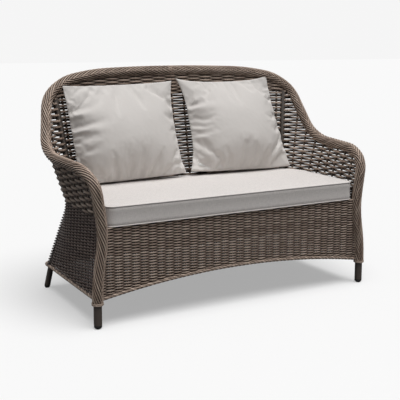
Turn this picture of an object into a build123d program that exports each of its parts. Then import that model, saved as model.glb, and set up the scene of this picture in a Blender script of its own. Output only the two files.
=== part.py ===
from build123d import *
import math
import os

# A two-seat garden sofa: woven resin wicker on a bent tube frame, with a seat cushion and two back pillows.
# Millimetres. +Z is up, the sofa faces -Y, +X is to the right of someone who looks at its front.
# The origin is on the ground, in the middle of the footprint.

os.makedirs("parts", exist_ok=True)

# Overall form, on the centre lines of the tubes
rim_half_width = 627          # half the distance between the arms, at their widest
rim_height = 882              # the back rim above the ground
rim_run_depth = 591           # from the front posts back to the middle of the back rim
front_post_y = -294.4
clearance = 0.3               # between pieces that seat on each other

# Tubes
front_tube_diameter = 30
rear_tube_diameter = 24
spigot_length = 70
rear_foot_splay = 27          # of the rear foot behind where its leg leaves the skirt
front_leg_straight = 168      # how far up each front leg runs before it bows
rear_post_bend_radius = 160
seat_rail_diameter = 20
cross_bar_diameter = 16
bottom_rail_diameter = 12
tube_wall = 1.5
tube_sides = 10               # flats round each bent tube

# Braids and weave
braid_thickness = 5           # one layer of strands round the rim tube
border_diameter = 15          # the twisted braid along the bottom edges
weave_thickness = 12
collar_height = 9
collar_thickness = 7
cope_depth = 2.5              # by which the walls' tops are drawn into the rim before it cuts them

# Levels
skirt_bottom = 97             # lower edge of the woven skirt
waist_height = 398            # where the skirt ends and the flared upper weave begins
seat_rail_height = 345        # centre line of the seat frame
arch_rise = 51                # of the front bottom edge
glide_height = 14
glide_flat_radius = 8
glide_stem = 16

# Plan of the walls
skirt_inset = 34              # of the skirt's lower edge inside the widest part of the rim
waist_inset = 54
skirt_rear_inset = 24         # of the same inside the rearmost part of the rim
waist_rear_inset = 87
waist_corner_radius = 200
apron_setback = 6             # the front panel's middle plane behind the post axes

# Seat
seat_hoop_corner_radius = 178
seat_hoop_inset = 3           # inside the skirt, beyond its clearance
low_rail_inset = 6
rail_end_gap = 2
deck_corner_radius = 197
deck_edge_gap = 2
lug_thickness = 4
lug_height = 20
deck_thickness = 5
cross_bar_count = 3
cushion_inset = 78
cushion_rear_inset = 106.5
cushion_overhang = 5.5        # in front of the post axes
cushion_thickness = 76
cushion_crown = 8
cushion_front_corner = 35
cushion_rear_corner = 150
cushion_edge_roll = 9
crown_flat_share = 0.8        # of the rear corners' radius, from the edge to the flat of the crown
cushion_draw_in = 3
cover_thickness = 1.2
piping_diameter = 4
piping_sides = 6
zip_share = 0.565             # of the cushion's width
zip_width = 8
zip_thickness = 2.4

# Pillows
pillow_width_share = 0.428    # of the cushion's width
pillow_height = 415
pillow_front_crown = 84
pillow_rear_crown = 36
pillow_seam_thickness = 5
pillow_draw_in = 12
pillow_lean = 17.5
pillow_turn = 9.7
pillow_place_share = 0.236    # of the cushion's width, from the middle out to each pillow's middle
pillow_rear_inset = 184.5     # of the pillows' seams at their foot inside the rearmost part of the rim
pillow_sink = 4.5             # of the pillows into the fall of the cushion's crown
pillow_skin = 3
pillow_edge_share = 2.2       # how much further the knife edge is drawn in than the faces
pillow_side_power = 2.2       # shape of the crown from side to side
pillow_side_round = 0.75
pillow_across_shares = (-1, -0.93, -0.78, -0.5, 0, 0.5, 0.78, 0.93, 1)
pillow_rise_shares = (0, 0.06, 0.2, 0.5, 0.8, 0.94, 1)

# Corners of the rim tube's right half, from the ground up and round to the middle of the back,
# as shares of half the width, of the depth behind the front posts and of the height
rim_corner_shares = [
    (0.943, 0.000, 0.016),
    (0.941, 0.000, 0.190),
    (0.896, 0.000, 0.374),
    (0.936, 0.000, 0.587),
    (0.964, 0.133, 0.636),
    (1.000, 0.549, 0.650),
    (0.997, 0.696, 0.691),
    (0.929, 0.858, 0.896),
    (0.793, 0.909, 0.964),
    (0.570, 0.953, 0.992),
    (0.200, 1.000, 1.000),
]
arm_corner_count = 5          # the arm tube ends on the run past this many corners
joint_place_share = 0.5
arc_share = 0.44              # of the shorter straight run that each bend takes up

# Derived sizes
rim_rear = front_post_y + rim_run_depth
skirt_half_width = rim_half_width - skirt_inset
skirt_rear = rim_rear - skirt_rear_inset
waist_half_width = rim_half_width - waist_inset
waist_rear = rim_rear - waist_rear_inset
cushion_half_width = rim_half_width - cushion_inset
cushion_front = front_post_y - cushion_overhang
cushion_rear = rim_rear - cushion_rear_inset
cross_bar_spacing = waist_half_width * 2 / (cross_bar_count + 1)
zip_length = cushion_half_width * 2 * zip_share
pillow_width = cushion_half_width * 2 * pillow_width_share
front_tube_radius = front_tube_diameter / 2
rear_tube_radius = rear_tube_diameter / 2
seat_rail_radius = seat_rail_diameter / 2
cross_bar_radius = cross_bar_diameter / 2
bottom_rail_radius = bottom_rail_diameter / 2
border_radius = border_diameter / 2
half_weave = weave_thickness / 2
sleeve_bore_radius = front_tube_radius + clearance
sleeve_radius = sleeve_bore_radius + braid_thickness
seat_reach = sleeve_radius + clearance
border_height = skirt_bottom + border_radius
panel_bottom = border_height + border_radius + clearance
deck_bottom = seat_rail_height + seat_rail_radius + clearance
deck_top = deck_bottom + deck_thickness
cushion_bottom = deck_top + clearance
corner_x = waist_half_width - waist_corner_radius
corner_y = waist_rear - waist_corner_radius
apron_y = front_post_y + apron_setback
overrun = 60                  # by which cutting shapes pass what they cut
post_share = 0.1              # of the braid's length that stands in one front post
front_bend_shares = (0, 0.25, 0.65, 1.25, 2.25, 3.75)
side_steps = 4
corner_steps = 3
back_steps = 3
apron_steps = 4
bisection_steps = 30
sample_count = 1000
near_zero = 1e-6


def write(piece, name):
    """Label a finished piece and write its STEP file."""
    piece.label = name
    export_step(piece, f"parts/{name}.step")


def bend_radii(points):
    """The radius of each bend of a tube through these corners."""
    radii = []
    for before, corner, after in zip(points, points[1:], points[2:]):
        first = Vector(*corner) - Vector(*before)
        second = Vector(*after) - Vector(*corner)
        half_turn = math.radians(first.get_angle(second)) / 2
        radii.append(arc_share * min(first.length, second.length) / math.tan(half_turn))
    return radii


def bent_wire(points, radii):
    """Straight runs joined by tangent arcs."""
    with BuildLine() as line:
        FilletPolyline(*points, radius=radii)
    return line.wire()


def bent_tube(path, outer_radius, bore_radius=0):
    """A round tube, or a rod where there is no bore, along a path."""
    with BuildPart() as tube:
        with BuildSketch(Plane(origin=path @ 0, z_dir=path % 0)):
            RegularPolygon(outer_radius, tube_sides)
            if bore_radius:
                RegularPolygon(bore_radius, tube_sides, major_radius=False, mode=Mode.SUBTRACT)
        sweep(path=path)
    return tube.part


def write_pair(piece, name):
    """Write a right-hand piece and its mirror image on the left."""
    with BuildPart() as left:
        mirror(piece, about=Plane.YZ)
    write(piece, f"{name}_right")
    write(left.part, f"{name}_left")


# Rim centre line: the right half from the foot, then the mirrored half back to the other foot
right_corners = [
    (x * rim_half_width, front_post_y + y * rim_run_depth, z * rim_height)
    for x, y, z in rim_corner_shares
]
right_corners[0] = (right_corners[0][0], front_post_y, glide_height)
right_corners[1] = (right_corners[1][0], front_post_y, front_leg_straight)
left_corners = [(-x, y, z) for x, y, z in reversed(right_corners)]
rim_radii = bend_radii(right_corners + left_corners)


def between(corners, share):
    """The point at a share of the run from the first of these corners to the next."""
    near, far = Vector(*corners[0]), Vector(*corners[1])
    return tuple(near + (far - near) * share)


# The rim is jointed on a straight run of each arm, and its braid starts on the straight of each leg
arm_joint = between(right_corners[arm_corner_count - 1:], joint_place_share)
left_arm_joint = (-arm_joint[0], arm_joint[1], arm_joint[2])
arm_corners = right_corners[:arm_corner_count] + [arm_joint]
back_corners = (
    [arm_joint] + right_corners[arm_corner_count:] + left_corners[:-arm_corner_count] + [left_arm_joint]
)
braid_start = between(
    right_corners, (skirt_bottom - glide_height) / (front_leg_straight - glide_height)
)
left_braid_start = (-braid_start[0], braid_start[1], braid_start[2])
braid_corners = [braid_start] + right_corners[1:] + left_corners[:-1] + [left_braid_start]
arm_path = bent_wire(arm_corners, rim_radii[:arm_corner_count - 1])
back_path = bent_wire(back_corners, rim_radii[arm_corner_count - 1:1 - arm_corner_count])
braid_path = bent_wire(braid_corners, rim_radii)
rim_space = bent_tube(braid_path, seat_reach)
braid_samples = [
    (braid_path @ (step / sample_count), braid_path % (step / sample_count))
    for step in range(sample_count // 2 + 1)
]


def braid_at(share):
    """The braid's centre and direction at a share of its length, up to the middle of the back."""
    place = share * sample_count
    index = min(int(place), sample_count // 2 - 1)
    near, near_direction = braid_samples[index]
    far, far_direction = braid_samples[index + 1]
    rest = place - index
    direction = near_direction + (far_direction - near_direction) * rest
    return near + (far - near) * rest, direction.normalized()


def find_share(is_past, low, high):
    """The share of the braid's length at which is_past turns true."""
    for _ in range(bisection_steps):
        middle = (low + high) / 2
        if is_past(middle):
            high = middle
        else:
            low = middle
    return high


def post_x(level):
    """How far out the right front post's centre line is at a height."""
    share = find_share(lambda share: braid_at(share)[0].Z > level, 0, post_share)
    return braid_at(share)[0].X


def under_rim(share, across):
    """A point just inside the rim's space, for the top of a wall that runs across a plane."""
    centre, along = braid_at(share)
    level = along.dot(across)
    inwards = across * along.Z - Vector(0, 0, level)
    return centre + inwards.normalized() * (seat_reach - cope_depth)


def forward(angle):
    """The level direction at an angle from +X."""
    return Vector(math.cos(math.radians(angle)), math.sin(math.radians(angle)), 0)


def wall_plane(origin, angle):
    """The upright plane through origin along an angle: its x is the reach, its y is the height."""
    return Plane(origin=origin, x_dir=forward(angle), z_dir=forward(angle).cross(Vector(0, 0, 1)))


def reach(origin, angle, half_width, rear, corner_radius=0):
    """How far a ring of the wall's plan is from origin along an angle."""
    direction = forward(angle)
    centre = Vector(half_width - corner_radius, rear - corner_radius, 0)
    if direction.X > near_zero:
        side = (half_width - origin.X) / direction.X
        if origin.Y + side * direction.Y <= centre.Y + near_zero:
            return side
    if direction.Y > near_zero:
        back = (rear - origin.Y) / direction.Y
        if origin.X + back * direction.X <= centre.X + near_zero:
            return back
    offset = origin - centre
    along = offset.dot(direction)
    return -along + math.sqrt(along**2 - offset.length**2 + corner_radius**2)


def rim_crossing(origin, angle):
    """Reach and height of the rim's centre line in an upright plane, and the height under its braid."""
    across = forward(angle + 90)
    under = find_share(lambda share: (under_rim(share, across) - origin).dot(across) > 0, post_share / 2, 0.5)
    centre = find_share(lambda share: (braid_at(share)[0] - origin).dot(across) > 0, post_share / 2, 0.5)
    point, _ = braid_at(centre)
    return (point - origin).dot(forward(angle)), point.Z, under_rim(under, across).Z


def waist_reach(origin, angle):
    """The wall's reach at the waist."""
    return reach(origin, angle, waist_half_width, waist_rear, waist_corner_radius)


def skirt_reach(origin, angle, level):
    """The wall's reach below the waist."""
    low = reach(origin, angle, skirt_half_width, skirt_rear)
    drop_share = (waist_height - level) / (waist_height - skirt_bottom)
    return waist_reach(origin, angle) + (low - waist_reach(origin, angle)) * drop_share


def wall_section(origin, angle, low, low_reach, high, high_reach):
    """One upright section of a woven wall."""
    with BuildSketch(wall_plane(origin, angle)) as section:
        with BuildLine():
            Polyline(
                (low_reach - half_weave, low),
                (low_reach + half_weave, low),
                (high_reach + half_weave, high),
                (high_reach - half_weave, high),
                close=True,
            )
        make_face()
    return section.sketch


def skirt_section(origin, angle):
    """The skirt between its border and the waist."""
    low_reach = skirt_reach(origin, angle, panel_bottom)
    return wall_section(
        origin, angle, panel_bottom, low_reach, waist_height, waist_reach(origin, angle)
    )


def upper_section(origin, angle):
    """The upper weave between the waist and the rim braid."""
    waist = waist_reach(origin, angle)
    rim, rim_level, top = rim_crossing(origin, angle)
    lean = (rim - waist) / (rim_level - waist_height)
    low = waist_height + clearance
    return wall_section(origin, angle, low, waist, top, waist + lean * (top - waist_height))


# The rear legs stand inside the skirt's rear corners, each bent in its own upright plane
border_wrap_radius = rear_tube_radius + border_radius + 2 * clearance
corner = Vector(corner_x, corner_y, 0)
leg_at_border = Vector(skirt_half_width - border_wrap_radius, skirt_rear - border_wrap_radius, 0)
leg_angle = math.degrees(math.atan2(leg_at_border.Y - corner_y, leg_at_border.X - corner_x))
leg_reach = (leg_at_border - corner).length
rear_rim_reach, rear_rim_level, _ = rim_crossing(corner, leg_angle)
leg_points = [
    wall_plane(corner, leg_angle).from_local_coords(point)
    for point in (
        (leg_reach + rear_foot_splay, 0),
        (leg_reach, border_height),
        (waist_corner_radius, waist_height),
        (rear_rim_reach, rear_rim_level),
    )
]


def leg_point(level):
    """The right rear leg's centre at a height below its waist bend."""
    low, high = leg_points[1], leg_points[2]
    return low + (high - low) * ((level - low.Z) / (high.Z - low.Z))


def rear_post(radius, bore_radius=0):
    """The right rear leg and post, from its glide up into the rim."""
    foot = leg_points[0] + (leg_points[1] - leg_points[0]).normalized() * glide_height
    with BuildLine() as line:
        FilletPolyline(foot, *leg_points[1:], radius=rear_post_bend_radius)
    return bent_tube(line.wire(), radius, bore_radius)


# Upright planes in which the walls are drawn, from the front post round to the rear leg
post_gap = rear_tube_radius + clearance
front_edge = front_post_y + seat_reach + clearance
front_bend_places = [front_edge + share * front_tube_radius for share in front_bend_shares]
side_run = corner_y - front_bend_places[-1]
side_planes = [(Vector(corner_x, y, 0), 0) for y in front_bend_places]
side_planes += [
    (Vector(corner_x, front_bend_places[-1] + side_run * step / side_steps, 0), 0)
    for step in range(1, side_steps + 1)
]
side_planes += [(corner, leg_angle * step / (corner_steps + 1)) for step in range(1, corner_steps + 1)]
side_planes += [(corner - forward(leg_angle + 90) * post_gap, leg_angle)]
skirt_planes = [side_planes[0]] + side_planes[len(front_bend_places):]

# and on behind the leg to the middle of the back
back_half_planes = [(corner + forward(leg_angle + 90) * post_gap, leg_angle)]
back_half_planes += [
    (corner, leg_angle + (90 - leg_angle) * step / corner_steps) for step in range(1, corner_steps)
]
back_half_planes += [
    (Vector(corner_x * (1 - step / back_steps), corner_y, 0), 90) for step in range(back_steps + 1)
]

# Rim: two arm tubes that rise from the front feet, and the back tube between their joints
arm_tube = bent_tube(arm_path, front_tube_radius, front_tube_radius - tube_wall)
write_pair(arm_tube, "arm_tube")
back_rim_tube = bent_tube(back_path, front_tube_radius, front_tube_radius - tube_wall)
write(back_rim_tube, "back_rim_tube")

# A spigot inside each joint of the rim
joint_run = Vector(*right_corners[arm_corner_count]) - Vector(*arm_joint)
with BuildPart() as arm_joint_spigot:
    with BuildSketch(Plane(origin=arm_joint, z_dir=joint_run)):
        Circle(front_tube_radius - tube_wall - clearance)
    extrude(amount=spigot_length / 2, both=True)
write_pair(arm_joint_spigot.part, "arm_joint_spigot")

# Plaited sleeve round the whole rim, from one front collar to the other
rim_braid = bent_tube(braid_path, sleeve_radius, sleeve_bore_radius)
write(rim_braid, "rim_braid")

# A collar closes the braid above each bare front leg
collar_top = braid_path @ 0 - Vector(0, 0, clearance)
with BuildPart() as leg_collar:
    with BuildSketch(Plane(origin=collar_top, z_dir=Vector(*right_corners[0]) - Vector(*right_corners[1]))):
        RegularPolygon(front_tube_radius + collar_thickness, tube_sides)
        RegularPolygon(sleeve_bore_radius, tube_sides, major_radius=False, mode=Mode.SUBTRACT)
    extrude(amount=collar_height)
write_pair(leg_collar.part, "leg_collar")

# Rear legs, coped where they meet the rim braid
with BuildPart() as rear_leg:
    add(rear_post(rear_tube_radius, rear_tube_radius - tube_wall))
    add(rim_space, mode=Mode.SUBTRACT)
rear_leg_piece = rear_leg.part.solids().sort_by(Axis.Z)[0]
write_pair(Part() + rear_leg_piece, "rear_leg")


def foot_glide(tube_radius):
    """A bevelled plug for a tube's end, its foot at the origin."""
    bevel_height = glide_height / 2
    with BuildPart() as glide:
        with BuildSketch():
            RegularPolygon(glide_flat_radius, tube_sides)
        with BuildSketch(Plane.XY.offset(bevel_height)) as rim:
            RegularPolygon(tube_radius, tube_sides)
        loft(ruled=True)
        extrude(rim.sketch, amount=glide_height - clearance - bevel_height)
        with BuildSketch(Plane.XY.offset(bevel_height)):
            RegularPolygon(tube_radius - tube_wall - clearance, tube_sides)
        extrude(amount=bevel_height + glide_stem)
    return glide.part


front_glide = Pos(right_corners[0][0], front_post_y, 0) * foot_glide(front_tube_radius)
write_pair(front_glide, "front_foot_glide")
leg_lean = Plane(origin=leg_points[0], z_dir=leg_points[1] - leg_points[0])
with BuildPart() as rear_glide:
    add(leg_lean.location * foot_glide(rear_tube_radius))
    split(bisect_by=Plane.XY, keep=Keep.TOP)
write_pair(rear_glide.part, "rear_foot_glide")

# Seat frame: a hoop round the sides and back, a front rail between its ends, and cross bars
rail_inset = half_weave + clearance + seat_hoop_inset + seat_rail_radius
hoop_x = corner_x + skirt_reach(Vector(corner_x, 0, 0), 0, seat_rail_height) - rail_inset
hoop_y = corner_y + skirt_reach(Vector(0, corner_y, 0), 90, seat_rail_height) - rail_inset
hoop_start = front_post_y + seat_reach
with BuildLine() as hoop_line:
    FilletPolyline(
        (hoop_x, hoop_start, seat_rail_height),
        (hoop_x, hoop_y, seat_rail_height),
        (-hoop_x, hoop_y, seat_rail_height),
        (-hoop_x, hoop_start, seat_rail_height),
        radius=seat_hoop_corner_radius,
    )
seat_hoop = bent_tube(hoop_line.wire(), seat_rail_radius, seat_rail_radius - tube_wall)
write(seat_hoop, "seat_hoop")

apron_inner = apron_y + half_weave + clearance
front_rail_y = apron_inner + seat_rail_radius
with BuildPart() as seat_front_rail:
    with BuildSketch(Plane.YZ):
        with Locations((front_rail_y, seat_rail_height)):
            RegularPolygon(seat_rail_radius, tube_sides)
            RegularPolygon(seat_rail_radius - tube_wall, tube_sides, major_radius=False, mode=Mode.SUBTRACT)
    extrude(amount=hoop_x - seat_rail_radius - clearance, both=True)
write(seat_front_rail.part, "seat_front_rail")

# A lug ties each rear leg to the hoop
hoop_reach = reach(corner, leg_angle, hoop_x, hoop_y, seat_hoop_corner_radius)
with BuildPart() as leg_lug:
    with BuildSketch(wall_plane(corner, leg_angle)):
        with Locations((hoop_reach, seat_rail_height)):
            Rectangle(overrun, lug_height, align=(Align.MIN, Align.CENTER))
    extrude(amount=lug_thickness / 2, both=True)
    add(bent_tube(hoop_line.wire(), seat_rail_radius + clearance), mode=Mode.SUBTRACT)
    add(rear_post(rear_tube_radius + clearance), mode=Mode.SUBTRACT)
lug_piece = leg_lug.part.solids().sort_by(Axis.X)[0]
write_pair(Part() + lug_piece, "leg_lug")

bar_start = front_rail_y + seat_rail_radius + clearance
bar_length = hoop_y - seat_rail_radius - clearance - bar_start
bar_level = deck_bottom - clearance - cross_bar_radius
with BuildPart() as seat_cross_bars:
    with BuildSketch(Plane(origin=(0, bar_start, bar_level), x_dir=(1, 0, 0), z_dir=(0, 1, 0))):
        with GridLocations(cross_bar_spacing, 0, cross_bar_count, 1):
            RegularPolygon(cross_bar_radius, tube_sides)
            RegularPolygon(cross_bar_radius - tube_wall, tube_sides, major_radius=False, mode=Mode.SUBTRACT)
    extrude(amount=bar_length)
write(seat_cross_bars.part, "seat_cross_bars")

# Bottom rails behind the skirt's lower edge
rail_level = panel_bottom
arch_rail_y = apron_inner + bottom_rail_radius
arch_rail_reach = post_x(rail_level) - seat_reach
with BuildLine() as arch_line:
    ThreePointArc(
        (-arch_rail_reach, arch_rail_y, rail_level),
        (0, arch_rail_y, rail_level + arch_rise),
        (arch_rail_reach, arch_rail_y, rail_level),
    )
front_arch_rail = bent_tube(arch_line.wire(), bottom_rail_radius)
write(front_arch_rail, "front_arch_rail")

low_rail_gap = half_weave + clearance + low_rail_inset + bottom_rail_radius
low_rail_x = corner_x + skirt_reach(Vector(corner_x, 0, 0), 0, rail_level) - low_rail_gap
low_rail_y = corner_y + skirt_reach(Vector(0, corner_y, 0), 90, rail_level) - low_rail_gap
low_rail_start = arch_rail_y + bottom_rail_radius + clearance
leg_low = leg_point(rail_level)
leg_cut = rear_tube_radius + rail_end_gap
with BuildPart() as side_bottom_rail:
    with BuildSketch(Plane(origin=(low_rail_x, low_rail_start, rail_level), z_dir=(0, 1, 0))):
        Circle(bottom_rail_radius)
    extrude(amount=leg_low.Y - leg_cut - low_rail_start)
write_pair(side_bottom_rail.part, "side_bottom_rail")
with BuildPart() as rear_bottom_rail:
    with BuildSketch(Plane(origin=(0, low_rail_y, rail_level), z_dir=(1, 0, 0))):
        Circle(bottom_rail_radius)
    extrude(amount=leg_low.X - leg_cut, both=True)
write(rear_bottom_rail.part, "rear_bottom_rail")

# The arch that the front panel's border follows
border_reach = post_x(border_height) - seat_reach - clearance
with BuildLine() as front_border_line:
    ThreePointArc(
        (-border_reach, apron_y, border_height),
        (0, apron_y, border_height + arch_rise),
        (border_reach, apron_y, border_height),
    )

# Woven front panel between the posts, over an arched bottom edge
apron_top = deck_top - clearance
apron_levels = [
    panel_bottom + (apron_top - panel_bottom) * step / apron_steps for step in range(apron_steps + 1)
]
apron_edge = [(post_x(level) - seat_reach - clearance, level) for level in apron_levels]
with BuildPart() as front_apron:
    with BuildSketch(Plane.XZ.offset(-apron_y)):
        with BuildLine():
            Polyline(*apron_edge, *[(-x, level) for x, level in reversed(apron_edge)])
            ThreePointArc(
                (-apron_edge[0][0], panel_bottom), (0, panel_bottom + arch_rise), apron_edge[0]
            )
        make_face()
    extrude(amount=half_weave, both=True)
    add(rim_space, mode=Mode.SUBTRACT)
    add(bent_tube(front_border_line.wire(), border_radius + clearance), mode=Mode.SUBTRACT)
write(front_apron.part, "front_apron")

# Skirt and upper weave
with BuildPart() as side_skirt:
    loft([skirt_section(*place) for place in skirt_planes], ruled=True)
write_pair(side_skirt.part, "side_skirt")
with BuildPart() as rear_skirt:
    loft([skirt_section(*place) for place in back_half_planes], ruled=True)
    mirror(about=Plane.YZ)
write(rear_skirt.part, "rear_skirt")
with BuildPart() as arm_weave:
    loft([upper_section(*place) for place in side_planes], ruled=True)
    add(rim_space, mode=Mode.SUBTRACT)
write_pair(arm_weave.part, "arm_weave")
with BuildPart() as back_weave:
    loft([upper_section(*place) for place in back_half_planes], ruled=True)
    mirror(about=Plane.YZ)
    add(rim_space, mode=Mode.SUBTRACT)
write(back_weave.part, "back_weave")

# Twisted borders: one under the arched front panel, one round the sides and rear
with BuildPart() as front_border:
    add(bent_tube(front_border_line.wire(), border_radius))
    add(rim_space, mode=Mode.SUBTRACT)
write(front_border.part, "front_border")
with BuildLine() as skirt_border_line:
    FilletPolyline(
        (skirt_half_width, hoop_start, border_height),
        (skirt_half_width, skirt_rear, border_height),
        (-skirt_half_width, skirt_rear, border_height),
        (-skirt_half_width, hoop_start, border_height),
        radius=border_wrap_radius,
    )
write(bent_tube(skirt_border_line.wire(), border_radius), "skirt_border")

# Woven seat deck on the rails
deck_x = corner_x + skirt_reach(Vector(corner_x, 0, 0), 0, deck_top) - half_weave - deck_edge_gap
deck_rear = corner_y + skirt_reach(Vector(0, corner_y, 0), 90, deck_top) - half_weave - deck_edge_gap
with BuildPart() as seat_deck:
    with BuildSketch(Plane.XY.offset(deck_bottom)):
        with BuildLine():
            FilletPolyline(
                (deck_x, apron_inner),
                (deck_x, deck_rear),
                (-deck_x, deck_rear),
                (-deck_x, apron_inner),
                radius=deck_corner_radius,
            )
            Line((-deck_x, apron_inner), (deck_x, apron_inner))
        make_face()
        with Locations((post_x(deck_top), front_post_y), (-post_x(deck_top), front_post_y)):
            Circle(seat_reach + clearance, mode=Mode.SUBTRACT)
    extrude(amount=deck_thickness)
    leg_hole = rear_post(rear_tube_radius + clearance)
    add(leg_hole, mode=Mode.SUBTRACT)
    add(leg_hole.mirror(Plane.YZ), mode=Mode.SUBTRACT)
write(seat_deck.part, "seat_deck")


def cushion_outline(level, inset):
    """The seat cushion's plan at a height, drawn in by an inset."""
    side = cushion_half_width - inset
    front = cushion_front + inset
    rear = cushion_rear - inset
    front_radius = max(cushion_front_corner - inset, cushion_edge_roll)
    rear_radius = cushion_rear_corner - inset
    with BuildSketch(Plane.XY.offset(level)) as outline:
        with BuildLine():
            FilletPolyline(
                (side, front), (side, rear), (-side, rear), (-side, front),
                radius=[front_radius, rear_radius, rear_radius, front_radius],
                close=True,
            )
        make_face()
    return outline.sketch


def cushion_form(skin):
    """The seat cushion's sections from bottom to crown, at a depth under its cover."""
    low = cushion_bottom + skin
    high = cushion_bottom + cushion_thickness - skin
    middle = (low + high) / 2
    profile = [
        (low, cushion_edge_roll),
        (low + cushion_edge_roll, 0),
        (middle, cushion_draw_in),
        (high - cushion_edge_roll, 0),
        (high, cushion_edge_roll),
        (high + cushion_crown, cushion_rear_corner * crown_flat_share),
    ]
    return [cushion_outline(level, inset + skin) for level, inset in profile]


# Seat cushion: a zipped and piped cover round a foam core
with BuildPart() as seat_cushion_cover:
    loft(cushion_form(0), ruled=True)
    loft(cushion_form(cover_thickness), ruled=True, mode=Mode.SUBTRACT)
write(seat_cushion_cover.part, "seat_cushion_cover")
with BuildPart() as seat_cushion_foam:
    loft(cushion_form(cover_thickness + clearance), ruled=True)
write(seat_cushion_foam.part, "seat_cushion_foam")

# Piping along the cushion's top and bottom edges
with BuildPart() as seat_cushion_piping:
    for edge_level, lift in ((cushion_bottom, 1), (cushion_bottom + cushion_thickness, -1)):
        seam_out = (piping_diameter / 2 + clearance) * math.sqrt(0.5)
        seam_inset = cushion_edge_roll / 2 - seam_out
        seam_level = edge_level + lift * (cushion_edge_roll / 2 - seam_out)
        seam = cushion_outline(seam_level, seam_inset).face().outer_wire()
        with BuildSketch(Plane(origin=seam @ 0, x_dir=(0, 0, 1), z_dir=seam % 0)):
            RegularPolygon(piping_diameter / 2, piping_sides)
        sweep(path=seam)
write(seat_cushion_piping.part, "seat_cushion_piping")

# Zip in the rear boxing of the seat cushion's cover
zip_level = cushion_bottom + cushion_thickness / 2
zip_y = cushion_rear - cushion_draw_in * (1 - zip_width / cushion_thickness) + clearance
with BuildPart() as seat_cushion_zip:
    with BuildSketch(Plane.XZ.offset(-zip_y)):
        with Locations((0, zip_level)):
            SlotOverall(zip_length, zip_width)
    extrude(amount=-zip_thickness)
write(seat_cushion_zip.part, "seat_cushion_zip")


def bulge(rise_share):
    """How full a pillow's section is at a share of its height."""
    return (4 * rise_share * (1 - rise_share)) ** pillow_side_round


def pillow_section(place_share, skin):
    """One upright lens of the right pillow: its seam is pointed at the top and bottom."""
    fullness = (1 - abs(place_share) ** pillow_side_power) ** pillow_side_round
    thin = max(pillow_seam_thickness - skin, pillow_seam_thickness / 2)
    front = thin / 2 + max(pillow_front_crown - skin, 0) * fullness
    rear = thin / 2 + max(pillow_rear_crown - skin, 0) * fullness
    edge = skin * pillow_edge_share + pillow_draw_in * (1 - place_share**2)
    low = edge
    high = pillow_height - edge
    across = (pillow_width / 2 - skin * pillow_edge_share) * place_share
    plane = Plane(
        origin=pillow_base + pillow_across * across,
        x_dir=pillow_face,
        z_dir=pillow_face.cross(pillow_up),
    )
    face = [
        (front * bulge(share), low + (high - low) * share) for share in pillow_rise_shares
    ]
    back = [
        (-rear * bulge(share), low + (high - low) * share) for share in pillow_rise_shares[-2:0:-1]
    ]
    with BuildSketch(plane) as section:
        with BuildLine():
            Polyline(*face, *back, close=True)
        make_face()
    return section.sketch


def pillow_form(skin):
    """The right pillow's sections from side to side, at a depth under its cover."""
    return [pillow_section(share, skin) for share in pillow_across_shares]


# Pillows: knife-edged covers over fibre inserts, turned a little inwards and leaning on the back
cushion_top = cushion_bottom + cushion_thickness + cushion_crown
pillow_base = Vector(
    cushion_half_width * 2 * pillow_place_share, rim_rear - pillow_rear_inset, cushion_top - pillow_sink
)
pillow_across = forward(-pillow_turn)
level_back = forward(90 - pillow_turn)
lean = math.radians(pillow_lean)
pillow_up = Vector(0, 0, 1) * math.cos(lean) + level_back * math.sin(lean)
pillow_face = Vector(0, 0, 1) * math.sin(lean) - level_back * math.cos(lean)
with BuildPart() as pillow_cover:
    loft(pillow_form(0), ruled=True)
    loft(pillow_form(pillow_skin), ruled=True, mode=Mode.SUBTRACT)
write_pair(pillow_cover.part, "pillow_cover")
with BuildPart() as pillow_insert:
    loft(pillow_form(pillow_skin + clearance), ruled=True)
write_pair(pillow_insert.part, "pillow_insert")
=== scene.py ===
"""A garden loveseat of woven resin wicker with a seat cushion and two back pillows, over its CAD frame."""

from __future__ import annotations

import logging
import math
import random
from dataclasses import dataclass, field
from enum import Enum
from typing import Any, Sequence

import bmesh
import bpy
from mathutils import Matrix, Vector
from mathutils.bvhtree import BVHTree


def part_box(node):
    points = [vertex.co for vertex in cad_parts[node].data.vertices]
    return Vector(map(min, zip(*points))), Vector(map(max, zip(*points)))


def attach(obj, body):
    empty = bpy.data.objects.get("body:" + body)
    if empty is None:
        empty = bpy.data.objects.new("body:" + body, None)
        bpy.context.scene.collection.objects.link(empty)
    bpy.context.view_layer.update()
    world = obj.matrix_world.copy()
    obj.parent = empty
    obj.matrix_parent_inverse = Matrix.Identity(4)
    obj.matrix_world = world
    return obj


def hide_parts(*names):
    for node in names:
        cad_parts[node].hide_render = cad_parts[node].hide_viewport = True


log = logging.getLogger("loveseat")

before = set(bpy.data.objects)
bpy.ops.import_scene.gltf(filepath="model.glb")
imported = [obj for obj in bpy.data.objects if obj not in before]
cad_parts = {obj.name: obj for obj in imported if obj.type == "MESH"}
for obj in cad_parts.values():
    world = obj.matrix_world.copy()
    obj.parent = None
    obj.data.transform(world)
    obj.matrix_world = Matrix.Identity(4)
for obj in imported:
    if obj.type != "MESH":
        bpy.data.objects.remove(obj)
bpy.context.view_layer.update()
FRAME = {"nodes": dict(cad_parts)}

TURN = 2 * math.pi
CORE = 0.0002
UP = Vector((0, 0, 1))
SIDEWAYS = Vector((1, 0, 0))
BACKWARDS = Vector((0, 1, 0))

Colour = tuple[float, float, float, float]
Inputs = dict[str | int, Any]
Station = tuple[Vector, Vector, Vector]
Cell = tuple[Vector, Vector, tuple[float, float]]


class Body(Enum):
    """The bodies of the CAD frame that a piece can ride on."""

    FRAME = "frame"
    SEAT = "seat_cushion"
    LEFT_PILLOW = "left_pillow"
    RIGHT_PILLOW = "right_pillow"


class Side(Enum):
    """The two mirrored sides of the sofa."""

    RIGHT = 1
    LEFT = -1

    @property
    def word(self) -> str:
        """The side's name as the CAD nodes write it."""
        return self.name.lower()


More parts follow.
